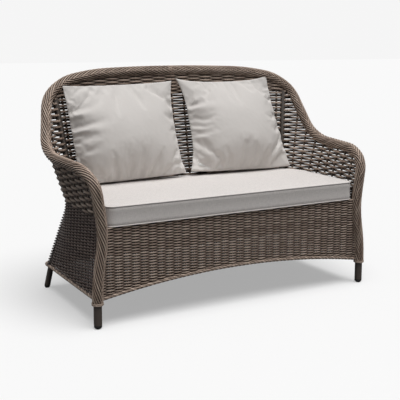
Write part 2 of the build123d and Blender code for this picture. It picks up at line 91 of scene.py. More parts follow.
class Slot(Enum):
    """Material slots."""

    PAINT = "frame_paint"
    ALUMINIUM = "bare_aluminium"
    PLASTIC = "glide_plastic"
    WICKER = "wicker"
    # The slot of the darker strand finish, which is painted shade for the skirt.
    PAINTED_SHADE_WICKER = "wicker_dark"
    SEAT_FABRIC = "seat_fabric"
    PILLOW_FABRIC = "pillow_fabric"
    TAPE = "zip_tape"
    FOAM = "foam"
    FIBRE = "fibre_fill"


# Node graphs


class Graph:
    """Adds nodes to a shader or geometry tree."""

    def __init__(self, tree: bpy.types.NodeTree) -> None:
        """Keep the tree that is built."""
        self.tree = tree

    def feed(self, socket: bpy.types.NodeSocket, value: Any) -> None:
        """Link or set one input.

        Args:
            socket: The input socket.
            value: A signal or socket to link, or a plain value.
        """
        if isinstance(value, Signal):
            value = value.socket
        if isinstance(value, bpy.types.NodeSocket):
            self.tree.links.new(value, socket)
        else:
            socket.default_value = value

    def add(self, kind: str, inputs: Inputs | None = None, **settings: Any) -> bpy.types.Node:
        """Add one node.

        Args:
            kind: The node's type.
            inputs: Values or sockets by input name, identifier or number.
            settings: Properties of the node.

        Returns:
            The new node.
        """
        node = self.tree.nodes.new(kind)
        for name, value in settings.items():
            setattr(node, name, value)
        for key, value in (inputs or {}).items():
            self.feed(self.find(node, key), value)
        return node

    @staticmethod
    def find(node: bpy.types.Node, key: str | int) -> bpy.types.NodeSocket:
        """Find an input socket.

        Args:
            node: The node that has it.
            key: Its number, identifier or name.

        Returns:
            The socket.
        """
        if isinstance(key, int):
            return node.inputs[key]
        for socket in node.inputs:
            if socket.identifier == key:
                return socket
        return node.inputs[key]

    def signal(self, kind: str, inputs: Inputs | None = None, out: str | int = 0, **settings: Any) -> Signal:
        """Add one node and wrap one of its outputs.

        Args:
            kind: The node's type.
            inputs: Values or sockets by input.
            out: The output's name or number.
            settings: Properties of the node.

        Returns:
            The wrapped output.
        """
        return Signal(self, self.add(kind, inputs, **settings).outputs[out])

    def vector(self, x: Any, y: Any, z: Any = 0.0) -> Signal:
        """Join three numbers into a vector."""
        return self.signal("ShaderNodeCombineXYZ", {"X": x, "Y": y, "Z": z})

    def split(self, vector: Any) -> tuple[Signal, Signal, Signal]:
        """Part a vector into its three numbers."""
        node = self.add("ShaderNodeSeparateXYZ", {"Vector": vector})
        return tuple(Signal(self, socket) for socket in node.outputs)

    def move(self, vector: Any, offset: Any) -> Signal:
        """Add two vectors."""
        return self.signal("ShaderNodeVectorMath", {0: vector, 1: offset}, operation="ADD")

    def scale(self, vector: Any, factor: Any) -> Signal:
        """Multiply a vector by a number."""
        return self.signal("ShaderNodeVectorMath", {0: vector, "Scale": factor}, operation="SCALE")


class Signal:
    """A number socket on which ordinary arithmetic adds Math nodes."""

    def __init__(self, graph: Graph, socket: bpy.types.NodeSocket) -> None:
        """Keep the graph and the output socket."""
        self.graph = graph
        self.socket = socket

    def maths(self, operation: str, first: Any, second: Any = 0.0, clamp: bool = False) -> Signal:
        """The result of a Math node on one or two values, kept between 0 and 1 on request."""
        values = {0: first, 1: second}
        return self.graph.signal("ShaderNodeMath", values, operation=operation, use_clamp=clamp)

    def __add__(self, other: Any) -> Signal:
        """This plus other."""
        return self.maths("ADD", self, other)

    __radd__ = __add__

    def __sub__(self, other: Any) -> Signal:
        """This minus other."""
        return self.maths("SUBTRACT", self, other)

    def __rsub__(self, other: Any) -> Signal:
        """Other minus this."""
        return self.maths("SUBTRACT", other, self)

    def __mul__(self, other: Any) -> Signal:
        """This times other."""
        return self.maths("MULTIPLY", self, other)

    __rmul__ = __mul__

    def __truediv__(self, other: Any) -> Signal:
        """This over other."""
        return self.maths("DIVIDE", self, other)

    def __rtruediv__(self, other: Any) -> Signal:
        """Other over this."""
        return self.maths("DIVIDE", other, self)

    def __pow__(self, other: Any) -> Signal:
        """This to the power of other."""
        return self.maths("POWER", self, other)

    def __neg__(self) -> Signal:
        """This with its sign turned."""
        return self.maths("MULTIPLY", self, -1.0)

    def cos(self) -> Signal:
        """The cosine."""
        return self.maths("COSINE", self)

    def sin(self) -> Signal:
        """The sine."""
        return self.maths("SINE", self)

    def floor(self) -> Signal:
        """The whole number below."""
        return self.maths("FLOOR", self)

    def exp(self) -> Signal:
        """The exponential."""
        return self.maths("EXPONENT", self)

    def sign(self) -> Signal:
        """Minus 1, 0 or 1, as this is below, at or above 0."""
        return self.maths("SIGN", self)

    def absolute(self) -> Signal:
        """This without its sign."""
        return self.maths("ABSOLUTE", self)

    def clamp(self) -> Signal:
        """This between 0 and 1."""
        return self.maths("ADD", self, 0.0, clamp=True)

    def step(self, low: float, high: float) -> Signal:
        """A smooth rise from 0 at low to 1 at high."""
        return self.graph.signal(
            "ShaderNodeMapRange",
            {"Value": self, "From Min": low, "From Max": high},
            interpolation_type="SMOOTHSTEP",
        )


# Finishes


class Coat(Graph):
    """A material's graph: what it reads from the surface, and the inputs of its shader."""

    def __init__(self, material: bpy.types.Material) -> None:
        """Start from the material's own Principled shader."""
        material.use_nodes = True
        super().__init__(material.node_tree)
        self.shader = material.node_tree.nodes["Principled BSDF"]

    def set(self, name: str, value: Any) -> None:
        """Link or set an input of the shader."""
        self.feed(self.shader.inputs[name], value)

    def place(self) -> Signal:
        """Object coordinates."""
        return self.signal("ShaderNodeTexCoord", out="Object")

    def read(self, name: str, out: str = "Vector") -> Signal:
        """An attribute of the mesh."""
        return self.signal("ShaderNodeAttribute", out=out, attribute_name=name)

    def noise(self, vector: Any, scale: float, detail: float = 3.0, roughness: float = 0.5) -> Signal:
        """Soft noise between 0 and 1."""
        inputs = {"Vector": vector, "Scale": scale, "Detail": detail, "Roughness": roughness}
        return self.signal("ShaderNodeTexNoise", inputs)

    def blend(self, factor: Any, first: Any, second: Any) -> Signal:
        """A mix of two colours.

        Args:
            factor: How much of the second colour.
            first: The first colour.
            second: The second colour.

        Returns:
            The colour.
        """
        node = self.add("ShaderNodeMix", {"Factor": factor}, data_type="RGBA")
        sockets = [socket for socket in node.inputs if socket.type == "RGBA"]
        self.feed(sockets[0], first)
        self.feed(sockets[1], second)
        return Signal(self, next(socket for socket in node.outputs if socket.type == "RGBA"))

    def bump(self, height: Any, strength: float, distance: float) -> None:
        """Link a bump to the shader's normal."""
        node = self.add("ShaderNodeBump", {"Height": height, "Strength": strength, "Distance": distance})
        self.set("Normal", node.outputs["Normal"])


def toned(colour: Colour, factor: float) -> Colour:
    """A colour made darker or lighter, up to white."""
    return (*(min(value * factor, 1.0) for value in colour[:3]), 1)


@dataclass(frozen=True)
class Finish:
    """What every finish has: a name, a slot and a roughness."""

    name: str
    slot: Slot
    roughness: float = 0.6

    def material(self) -> bpy.types.Material:
        """The finish's material, built on its first use.

        Returns:
            The material.
        """
        known = bpy.data.materials.get(self.name)
        if known:
            return known
        made = bpy.data.materials.new(self.name)
        coat = Coat(made)
        coat.set("Roughness", self.roughness)
        self.dress(coat)
        return made

    def dress(self, coat: Coat) -> None:
        """Link the finish's colour, roughness and bump.

        Args:
            coat: The material's graph.
        """


@dataclass(frozen=True)
class ResinStrand(Finish):
    """Extruded resin wicker: each strand has its own tint and streaks along its length."""

    dark: Colour = (0.25, 0.175, 0.135, 1)
    light: Colour = (0.78, 0.62, 0.51, 1)
    # The colour of the painted shade that darkens strands behind stakes, along their flanks and on the
    # stakes.
    shade: Colour = (0.006, 0.003, 0.0025, 1)
    gloss: float = 0.22
    streak_rate: float = 26.0
    fine_rate: float = 60.0
    streak_lanes: float = 2.2
    fine_lanes: float = 9.0

    def dress(self, coat: Coat) -> None:
        """Streaks from the strand's own coordinates, tint from its number, and painted shade from a stored
        attribute.

        Args:
            coat: The material's graph.
        """
        x, y, _ = coat.split(coat.read("around"))
        along = coat.read("along", "Fac")
        tint = coat.read("tint", "Fac")
        run = along * self.streak_rate + tint * 37.0
        streak = coat.noise(coat.vector(run, x * self.streak_lanes, y * self.streak_lanes), 1.0, 4.0, 0.65)
        run = along * self.fine_rate + tint * 91.0
        fine = coat.noise(coat.vector(run, x * self.fine_lanes, y * self.fine_lanes), 1.0)
        factor = (tint * 0.5 + streak.step(0.32, 0.7) * 0.5 + (fine - 0.5) * 0.4).clamp()
        strand = coat.blend(factor, self.dark, self.light)
        # Painted shade: a stored attribute darkens the strand towards the shade colour.
        hidden = coat.read("hidden", "Fac")
        coat.set("Base Color", coat.blend(hidden, strand, self.shade))
        coat.set("Specular IOR Level", self.gloss)
        coat.set("Roughness", self.roughness - 0.1 + streak * 0.25)
        coat.bump(streak * 0.6 + fine * 0.6, 0.35, 0.0006)


@dataclass(frozen=True)
class WovenDeck(Finish):
    """A closely woven resin deck, drawn in the shader because it lies under the cushion."""

    pitch: float = 0.007
    dark: Colour = (0.02, 0.013, 0.01, 1)
    light: Colour = (0.15, 0.11, 0.088, 1)

    def dress(self, coat: Coat) -> None:
        """Over and under bands in the plane of the deck, with painted shade in the hollows between them.

        Args:
            coat: The material's graph.
        """
        x, y, _ = coat.split(coat.place())
        rate = math.pi / self.pitch
        rows = (y * rate).sin()
        stakes = (x * rate * 0.25).sin() * (((y * rate) / math.pi).floor() * math.pi).cos()
        height = (rows * rows * (0.62 + stakes * 0.38)).clamp()
        tone = coat.noise(coat.place(), 60.0)
        # The colour follows the height: the low parts between the bands are painted darker, as painted shade
        # in the weave's hollows; the tone noise is the resin's own.
        factor = (height * (0.6 + tone * 0.5)).clamp()
        coat.set("Base Color", coat.blend(factor, self.dark, self.light))
        coat.bump(height, 0.8, 0.003)


@dataclass(frozen=True)
class PowderCoat(Finish):
    """Satin powder coat: even colour, a faint orange-peel surface and a little dust."""

    colour: Colour = (0.075, 0.06, 0.05, 1)

    def dress(self, coat: Coat) -> None:
        """Fine orange peel and soft tone changes.

        Args:
            coat: The material's graph.
        """
        place = coat.place()
        tone = coat.noise(place, 14.0)
        peel = coat.noise(place, 900.0, 1.0)
        colour = coat.blend(tone, toned(self.colour, 0.8), toned(self.colour, 1.25))
        coat.set("Base Color", colour)
        coat.set("Roughness", self.roughness - 0.08 + tone * 0.16)
        coat.set("Coat Weight", 0.15)
        coat.set("Coat Roughness", 0.35)
        coat.bump(peel, 0.15, 0.0003)


@dataclass(frozen=True)
class MillAluminium(Finish):
    """Bare drawn aluminium with lengthwise lines."""

    dark: Colour = (0.62, 0.63, 0.65, 1)
    light: Colour = (0.8, 0.81, 0.82, 1)

    def dress(self, coat: Coat) -> None:
        """Drawn lines and a soft change of roughness.

        Args:
            coat: The material's graph.
        """
        x, y, z = coat.split(coat.place())
        lines = coat.noise(coat.vector(x * 900.0, y * 12.0, z * 900.0), 1.0, 2.0)
        coat.set("Base Color", coat.blend(lines, self.dark, self.light))
        coat.set("Metallic", 1.0)
        coat.set("Roughness", 0.28 + lines * 0.2)


@dataclass(frozen=True)
class MouldedPlastic(Finish):
    """Black moulded plastic, scuffed where it meets the ground."""

    colour: Colour = (0.012, 0.012, 0.012, 1)
    scuffed: Colour = (0.06, 0.058, 0.055, 1)
    scuff_height: float = 0.004

    def dress(self, coat: Coat) -> None:
        """Scuffs at the foot and a fine texture above.

        Args:
            coat: The material's graph.
        """
        place = coat.place()
        _, _, z = coat.split(place)
        low = 1.0 - z.step(0.0, self.scuff_height)
        scratch = coat.noise(place, 240.0, 5.0, 0.7)
        scuff = (low * scratch.step(0.45, 0.6)).clamp()
        coat.set("Base Color", coat.blend(scuff, self.colour, self.scuffed))
        coat.set("Roughness", self.roughness + scuff * 0.3)
        coat.bump(scratch, 0.2, 0.0003)


@dataclass(frozen=True)
class OutdoorCloth(Finish):
    """Plain-woven outdoor cloth with heathered yarns, on the panel's own coordinates in metres."""

    colour: Colour = (0.6, 0.58, 0.55, 1)
    yarn: float = 0.0011
    heather: float = 0.1
    crease: float = 0.0
    slub_along: float = 60.0
    slub_across: float = 700.0
    cloud_rate: float = 9.0
    rumple_rate: float = 26.0

    def dress(self, coat: Coat) -> None:
        """Warp and weft, uneven yarns, and soft handling marks.

        Args:
            coat: The material's graph.
        """
        x, y, _ = coat.split(coat.read("cloth"))
        rate = math.pi / self.yarn
        warp = (x * rate).sin()
        weft = (y * rate).sin()
        thread = (warp * warp + weft * weft) * 0.5
        slub_x = coat.noise(coat.vector(x * self.slub_along, y * self.slub_across), 1.0, 2.0)
        slub_y = coat.noise(coat.vector(x * self.slub_across, y * self.slub_along), 1.0, 2.0)
        heather = (slub_x + slub_y) * 0.5
        cloud = coat.noise(coat.vector(x, y), self.cloud_rate, 3.0)
        low = toned(self.colour, 1 - 2 * self.heather)
        high = toned(self.colour, 1 + self.heather)
        factor = (heather.step(0.3, 0.68) * 0.75 + cloud * 0.25 + (thread - 0.5) * 0.3).clamp()
        coat.set("Base Color", coat.blend(factor, low, high))
        coat.set("Sheen Weight", 0.12)
        coat.set("Sheen Roughness", 0.5)
        coat.set("Specular IOR Level", 0.25)
        rumple = coat.noise(coat.vector(x, y), self.rumple_rate, 2.0)
        coat.bump(thread * 0.22 + heather * 0.2 + rumple * (0.6 + self.crease), 0.3, 0.0016)


@dataclass(frozen=True)
class ZipTape(Finish):
    """A closed zip: woven tape with a row of teeth along its middle."""

    tooth_pitch: float = 0.0025
    tooth_height: float = 0.0016
    thread: float = 0.0009
    level: float = 0.0
    tape: Colour = (0.3, 0.29, 0.28, 1)
    teeth: Colour = (0.5, 0.49, 0.47, 1)

    def dress(self, coat: Coat) -> None:
        """Teeth in a band round the zip's level.

        Args:
            coat: The material's graph.
        """
        x, _, z = coat.split(coat.place())
        band = (-(((z - self.level) / self.tooth_height) ** 2.0)).exp()
        tooth = ((x * (TURN / self.tooth_pitch)).sin() * 0.5 + 0.5) * band
        weave = (z * (TURN / self.thread)).sin() * 0.5 + 0.5
        coat.set("Base Color", coat.blend(tooth.step(0.3, 0.6), self.tape, self.teeth))
        coat.bump(tooth + weave * 0.15, 0.6, 0.0008)


@dataclass(frozen=True)
class CutFoam(Finish):
    """Open-cell foam or loose fibre filling."""

    colour: Colour = (0.8, 0.78, 0.7, 1)
    cells: float = 500.0

    def dress(self, coat: Coat) -> None:
        """Cells all over.

        Args:
            coat: The material's graph.
        """
        cells = coat.noise(coat.place(), self.cells, 2.0)
        coat.set("Base Color", coat.blend(cells, toned(self.colour, 0.85), self.colour))
        coat.bump(cells, 0.5, 0.001)


WICKER = ResinStrand("resin strand", Slot.WICKER, 0.42)
# A darker copy of the strand finish, as painted shade for the skirt, the low wall that lies in shade.
PAINTED_SHADE_WICKER = ResinStrand(
    "resin strand, open weave",
    Slot.PAINTED_SHADE_WICKER,
    0.45,
    dark=(0.09, 0.06, 0.052, 1),
    light=(0.3, 0.225, 0.195, 1),
)
PAINT = PowderCoat("satin powder coat", Slot.PAINT, 0.42)
ALUMINIUM = MillAluminium("mill aluminium", Slot.ALUMINIUM, 0.35)
PLASTIC = MouldedPlastic("moulded glide plastic", Slot.PLASTIC, 0.45)
DECK = WovenDeck("woven deck", Slot.WICKER, 0.5)
SEAT_CLOTH = OutdoorCloth("seat cloth", Slot.SEAT_FABRIC, 0.85, colour=(0.735, 0.695, 0.67, 1))
PILLOW_CLOTH = OutdoorCloth(
    "pillow cloth", Slot.PILLOW_FABRIC, 0.85, colour=(0.735, 0.7, 0.67, 1), heather=0.09, crease=0.4
)
FOAM = CutFoam("cut foam", Slot.FOAM, 0.95)
FIBRE = CutFoam("fibre filling", Slot.FIBRE, 0.95, colour=(0.85, 0.85, 0.83, 1), cells=220.0)


# Measuring the CAD frame


def box_of(node: str) -> tuple[Vector, Vector]:
    """A CAD node's lowest and highest corners."""
    low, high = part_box(node)
    return Vector(low), Vector(high)


def surface(*names: str) -> BVHTree:
    """The surface of one or more CAD nodes, for rays.

    Args:
        names: The nodes.

    Returns:
        A tree of their faces.
    """
    corners: list[Vector] = []
    faces: list[list[int]] = []
    for name in names:
        mesh = FRAME["nodes"][name].data
        start = len(corners)
        corners += [vertex.co.copy() for vertex in mesh.vertices]
        faces += [[start + index for index in face.vertices] for face in mesh.polygons]
    return BVHTree.FromPolygons(corners, faces)


def upright(direction: Vector) -> tuple[Vector, Vector]:
    """Two directions square to this one.

    Args:
        direction: A unit vector.

    Returns:
        The two directions.
    """
    aside = SIDEWAYS if abs(direction.x) < 0.8 else BACKWARDS
    first = direction.cross(aside).normalized()
    return first, direction.cross(first)


@dataclass
class CentreLine:
    """The centre line of a CAD tube, followed from inside its bore."""

    node: str
    start: Vector
    direction: Vector
    step: float = 0.006
    rays: int = 20
    reach: float = 0.04
    smoothing: int = 2
    steering: float = 0.6
    shortest: float = 1 / 40
    most: int = 2000

    def points(self) -> list[Vector]:
        """Follow the tube to its end.

        Returns:
            Points a step apart, from the tube's first end to its last.
        """
        wall = surface(self.node)
        forward = self.follow(wall, self.start, self.direction.normalized())
        backward = self.follow(wall, self.start, -self.direction.normalized())
        line = backward[:0:-1] + forward
        for _ in range(self.smoothing):
            inner = [
                before * 0.25 + here * 0.5 + after * 0.25
                for before, here, after in zip(line, line[1:], line[2:])
            ]
            line = [line[0], *inner, line[-1]]
        return line

    def follow(self, wall: BVHTree, start: Vector, direction: Vector) -> list[Vector]:
        """Step along the tube one way.

        Args:
            wall: The tube's surface.
            start: A point inside it.
            direction: The way to go.

        Returns:
            The points, the start among them.
        """
        here = self.centre(wall, start, direction) or start
        line = [here]
        stride = self.step
        while len(line) < self.most and stride > self.step * self.shortest:
            found = self.centre(wall, here + direction * stride, direction)
            if found is None:
                stride /= 2
                continue
            direction = direction.lerp((found - here).normalized(), self.steering).normalized()
            here = found
            line.append(here)
        return line

    def centre(self, wall: BVHTree, guess: Vector, direction: Vector) -> Vector | None:
        """The middle of the tube's section at a guess.

        Args:
            wall: The tube's surface.
            guess: A point near the middle.
            direction: The tube's direction there.

        Returns:
            The middle, or nothing past the tube's end.
        """
        first, second = upright(direction)
        for _ in range(2):
            total = Vector()
            for index in range(self.rays):
                angle = TURN * index / self.rays
                hit = wall.ray_cast(guess, first * math.cos(angle) + second * math.sin(angle), self.reach)[0]
                if hit is None:
                    return None
                total += hit
            guess = total / self.rays
        return guess


def lengths(points: Sequence[Vector]) -> list[float]:
    """The distance along a line of points, at each of them.

    Args:
        points: The line.

    Returns:
        One length for each point.
    """
    total = [0.0]
    for before, after in zip(points, points[1:]):
        total.append(total[-1] + (after - before).length)
    return total


def mirrored(points: Sequence[Vector]) -> list[Vector]:
    """The same points on the other side of the sofa."""
    return [Vector((-point.x, point.y, point.z)) for point in points]


# Pieces


def new_object(name: str, mesh: bpy.types.Mesh) -> bpy.types.Object:
    """Put a mesh into the scene.

    Args:
        name: The object's name.
        mesh: Its mesh.

    Returns:
        The object, at the origin.
    """
    made = bpy.data.objects.new(name, mesh)
    bpy.context.scene.collection.objects.link(made)
    return made


def drop(*objects: bpy.types.Object) -> None:
    """Remove helper objects from the scene."""
    for item in objects:
        bpy.data.objects.remove(item, do_unlink=True)


def joined(name: str, parts: Sequence[bpy.types.Object]) -> bpy.types.Object:
    """Join objects that share a finish into one piece.

    Args:
        name: The piece's name.
        parts: Its parts.

    Returns:
        The piece.
    """
    if len(parts) > 1:
        chosen = list(parts)
        with bpy.context.temp_override(
            active_object=parts[0], selected_editable_objects=chosen, selected_objects=chosen
        ):
            bpy.ops.object.join()
    parts[0].name = name
    parts[0].data.name = name
    return parts[0]


def finish_piece(piece: bpy.types.Object, body: Body, finish: Finish, node: str) -> None:
    """Give a piece its material and body, and hide the CAD node that it replaces.

    Args:
        piece: The piece.
        body: What it rides on.
        finish: Its finish.
        node: The CAD node that it replaces.
    """
    if not piece.data.materials:
        piece.data.materials.append(finish.material())
    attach(piece, body.value)
    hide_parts(node)
    log.info("%s: %d faces, rides on %s", piece.name, len(piece.data.polygons), body.value)


def dress_node(name: str, finish: Finish) -> None:
    """Give a CAD node that stays its material.

    Args:
        name: The node.
        finish: Its finish.
    """
    for slot in FRAME["nodes"][name].material_slots:
        slot.material = finish.material()
    log.info("%s: keeps its CAD shape, %s", name, finish.name)


@dataclass
class Carrier:
    """A grid of points over a surface, with flat coordinates to lay strands by."""

    rows: list[list[Cell]]

    def mesh(self, name: str) -> bpy.types.Mesh:
        """The grid as a mesh with the attributes lay and out.

        Args:
            name: The mesh's name.

        Returns:
            The mesh.
        """
        width = len(self.rows[0])
        places = [cell for row in self.rows for cell in row]
        faces = [
            (j * width + i, j * width + i + 1, (j + 1) * width + i + 1, (j + 1) * width + i)
            for j in range(len(self.rows) - 1)
            for i in range(width - 1)
        ]
        mesh = bpy.data.meshes.new(name)
        mesh.from_pydata([cell[0] for cell in places], [], faces)
        lay = mesh.attributes.new("lay", "FLOAT_VECTOR", "CORNER")
        out = mesh.attributes.new("out", "FLOAT_VECTOR", "POINT")
        for index, cell in enumerate(places):
            out.data[index].vector = cell[1]
        for loop in mesh.loops:
            flat = places[loop.vertex_index][2]
            lay.data[loop.index].vector = (flat[0], flat[1], 0.0)
        return mesh


def tube_carrier(
    points: Sequence[Vector], radius: float, ridge: Vector, sides: int = 24, centred: bool = True
) -> Carrier:
    """A tube round a line, its flat coordinates the share of a turn from the ridge and the length.

    Args:
        points: The line.
        radius: The tube's radius.
        ridge: A direction that starts the turn, carried along the line without twist.
        sides: How many faces go round.
        centred: Whether the turn runs from -0.5 to 0.5 instead of from 0 to 1.

    Returns:
        The carrier.
    """
    total = lengths(points)
    rows = []
    for index, point in enumerate(points):
        after = points[min(index + 1, len(points) - 1)]
        before = points[max(index - 1, 0)]
        along = (after - before).normalized()
        ridge = (ridge - along * ridge.dot(along)).normalized()
        side = along.cross(ridge)
        row = []
        for step in range(sides + 1):
            turn = step / sides - (0.5 if centred else 0.0)
            out = ridge * math.cos(TURN * turn) + side * math.sin(TURN * turn)
            row.append((point + out * radius, out, (turn, total[index])))
        rows.append(row)
    return Carrier(rows)


@dataclass
class Lay:
    """How one family of strands lies on a carrier. Flat coordinates are turns or stakes, and metres.

    The first strand begins at start and covers run, and each further one is a step away. It waves in and
    out, half a swing to a stake, and the next strand waves the other way. Its ends dip by drop. Hide, groove
    and dim are painted shade: they darken it where it passes behind, along its flanks and all over. A rib is
    a rear leg in its way.
    """

    count: int
    points: int
    start: tuple[float, float]
    run: tuple[float, float]
    step: tuple[float, float]
    radius: float
    wave: float = 0.0
    wave_rate: float = 0.5
    phase: float = 0.5
    drop: float = 0.0
    hide: float = 0.0
    groove: float = 1.0
    dim: float = 0.0
    wander: float = 0.0
    fullness: float = 0.0
    wrap: float = 0.0
    rib_place: float = -1000.0
    rib_wave: float = 0.0
    rib_push: float = 0.0
    rib_width: float = 1.0
    sides: int = 6
    seed: int = 0


class StrandTree(Graph):
    """Geometry Nodes that lay strands over a carrier and weave them over and under its stakes."""

    INPUTS: dict[str, str] = {
        "Count": "NodeSocketInt",
        "Points": "NodeSocketInt",
        "Start": "NodeSocketVector",
        "Run": "NodeSocketVector",
        "Step": "NodeSocketVector",
        "Radius": "NodeSocketFloat",
        "Wave": "NodeSocketFloat",
        "Wave Rate": "NodeSocketFloat",
        "Phase": "NodeSocketFloat",
        "Drop": "NodeSocketFloat",
        # Hide, Groove and Dim set how much painted shade the strands get.
        "Hide": "NodeSocketFloat",
        "Groove": "NodeSocketFloat",
        "Dim": "NodeSocketFloat",
        "Wander": "NodeSocketFloat",
        "Fullness": "NodeSocketFloat",
        "Wrap": "NodeSocketFloat",
        "Rib Place": "NodeSocketFloat",
        "Rib Wave": "NodeSocketFloat",
        "Rib Push": "NodeSocketFloat",
        "Rib Width": "NodeSocketFloat",
        "Sides": "NodeSocketInt",
        "Seed": "NodeSocketInt",
        "Material": "NodeSocketMaterial",
    }
    SPARE = ("number", "share", "at", "swing", "radius", "facing")
    WANDER_RATE = 0.35
    WANDER_APART = 7.31
    # Painted shade: how dark a strand is painted behind a stake, and the facing over which its flanks are
    # painted darker.
    SHADE_BEHIND = 0.62
    FLANK_FROM = 0.15
    FLANK_TO = 0.9

    def __init__(self) -> None:
        """Build the tree."""
        super().__init__(bpy.data.node_groups.new("Strands", "GeometryNodeTree"))
        face = self.tree.interface
        face.new_socket("Geometry", in_out="INPUT", socket_type="NodeSocketGeometry")
        for name, kind in self.INPUTS.items():
            face.new_socket(name, in_out="INPUT", socket_type=kind)
        face.new_socket("Geometry", in_out="OUTPUT", socket_type="NodeSocketGeometry")
        self.given = self.add("NodeGroupInput").outputs
        self.build()

    def value(self, name: str) -> Signal:
        """One of the tree's inputs."""
        return Signal(self, self.given[name])

    def store(self, shape: Any, name: str, value: Any, kind: str = "FLOAT") -> Signal:
        """Store a named attribute on the points of a geometry."""
        inputs = {"Geometry": shape, "Name": name, "Value": value}
        return self.signal("GeometryNodeStoreNamedAttribute", inputs, data_type=kind, domain="POINT")

    def stored(self, name: str, kind: str = "FLOAT") -> Signal:
        """Read a named attribute."""
        return self.signal("GeometryNodeInputNamedAttribute", {"Name": name}, data_type=kind)

    def sample(self, value: Any, place: Any) -> bpy.types.Node:
        """Read a vector of the carrier at flat coordinates.

        Args:
            value: The vector, as a field on the carrier.
            place: The flat coordinates.

        Returns:
            The node, with the vector and whether the carrier reaches there.
        """
        lay = self.stored("lay", "FLOAT_VECTOR")
        inputs = {"Mesh": self.given["Geometry"], "Value": value, "Source UV Map": lay, "Sample UV": place}
        return self.add("GeometryNodeSampleUVSurface", inputs, data_type="FLOAT_VECTOR")

    def build(self) -> None:
        """Lay the lines flat, lift them on to the carrier, and give them their thickness."""
        line = self.signal("GeometryNodeCurvePrimitiveLine", {"Start": (0, 0, 0), "End": (1, 0, 0)})
        line = self.signal("GeometryNodeResampleCurve", {"Curve": line, "Count": self.value("Points")})
        amount = {"Geometry": line, "Amount": self.value("Count")}
        copies = self.add("GeometryNodeDuplicateElements", amount, domain="SPLINE")
        shape = self.store(copies.outputs["Geometry"], "number", copies.outputs["Duplicate Index"])
        shape = self.store(shape, "share", self.split(self.signal("GeometryNodeInputPosition"))[0])
        number = self.stored("number")
        share = self.stored("share")
        start, run, step = (self.split(self.given[name]) for name in ("Start", "Run", "Step"))
        u = start[0] + number * step[0] + share * run[0]
        path = self.vector(u * self.WANDER_RATE, number * self.WANDER_APART, self.value("Seed"))
        noise = self.signal("ShaderNodeTexNoise", {"Vector": path, "Scale": 1.0, "Detail": 1.0})
        v = start[1] + number * step[1] + share * run[1] + (noise - 0.5) * self.value("Wander")
        swing = ((u * self.value("Wave Rate") + number * self.value("Phase")) * TURN).cos()
        away = (u - self.value("Rib Place")) / self.value("Rib Width")
        rib = (-(away * away)).exp()
        ends = share * 2.0 - 1.0
        ends = ends * ends
        sunk = ends * ends * ends * self.value("Drop")
        wave = self.value("Wave") + rib * self.value("Rib Wave")
        lift = swing * wave + rib * self.value("Rib Push") - sunk
        flat = self.vector(u - u.floor() * self.value("Wrap"), v, 0.0)
        place = self.sample(self.signal("GeometryNodeInputPosition"), flat)
        out = self.sample(self.stored("out", "FLOAT_VECTOR"), flat).outputs["Value"]
        missing = self.signal("FunctionNodeBooleanMath", {0: place.outputs["Is Valid"]}, operation="NOT")
        lifted = self.move(place.outputs["Value"], self.scale(out, lift))
        shape = self.store(shape, "at", lifted, "FLOAT_VECTOR")
        shape = self.store(shape, "swing", swing)
        shape = self.store(shape, "facing", out, "FLOAT_VECTOR")
        chosen = {"Geometry": shape, "Selection": missing}
        shape = self.signal("GeometryNodeDeleteGeometry", chosen, domain="POINT")
        at = self.stored("at", "FLOAT_VECTOR")
        shape = self.signal("GeometryNodeSetPosition", {"Geometry": shape, "Position": at})
        self.thicken(shape)

    def thicken(self, shape: Signal) -> None:
        """Sweep the profile along the strands and end the tree.

        Args:
            shape: The strands' centre lines in place.
        """
        source = {"ID": self.stored("number"), "Seed": self.value("Seed")}
        chance = self.add("FunctionNodeRandomValue", source, data_type="FLOAT")
        shape = self.store(shape, "tint", chance.outputs[1])
        shape = self.store(shape, "along", self.signal("GeometryNodeSplineParameter", out="Length"))
        radius = self.value("Radius") * (1.0 + self.stored("swing") * self.value("Fullness"))
        shape = self.signal("GeometryNodeSetCurveRadius", {"Curve": shape, "Radius": radius})
        circle = {"Resolution": self.value("Sides"), "Radius": 1.0}
        ring = self.signal("GeometryNodeCurvePrimitiveCircle", circle)
        ring = self.store(ring, "around", self.signal("GeometryNodeInputPosition"), "FLOAT_VECTOR")
        solid = self.signal(
            "GeometryNodeCurveToMesh",
            {"Curve": shape, "Profile Curve": ring, "Scale": self.stored("radius"), "Fill Caps": True},
        )
        solid = self.signal("GeometryNodeRealizeInstances", {"Geometry": solid})
        # Store the painted shade that the strand finish darkens its colour with.
        solid = self.store(solid, "hidden", self.hidden())
        dressed = {"Geometry": solid, "Material": self.given["Material"]}
        solid = self.signal("GeometryNodeSetMaterial", dressed)
        self.add("NodeGroupOutput", {"Geometry": solid})

    def hidden(self) -> Signal:
        """How much painted shade darkens a strand's colour.

        Returns:
            0 for none and 1 for full painted shade, behind a stake, along a flank or all over a dimmed
            strand.
        """
        facing = self.stored("facing", "FLOAT_VECTOR")
        normal = self.signal("GeometryNodeInputNormal")
        turned = self.signal("ShaderNodeVectorMath", {0: normal, 1: facing}, "Value", operation="DOT_PRODUCT")
        # Painted shade where a strand passes behind a stake, on the side that the surface faces.
        painted_shade_behind = (self.SHADE_BEHIND - self.stored("swing") * turned.sign()).clamp() * self.value("Hide")
        # Painted shade along the flanks, where the surface turns away from the carrier's outward direction.
        flank = 1.0 - turned.absolute().step(self.FLANK_FROM, self.FLANK_TO)
        return 1.0 - (1.0 - painted_shade_behind) * (1.0 - flank * self.value("Groove")) * (1.0 - self.value("Dim"))


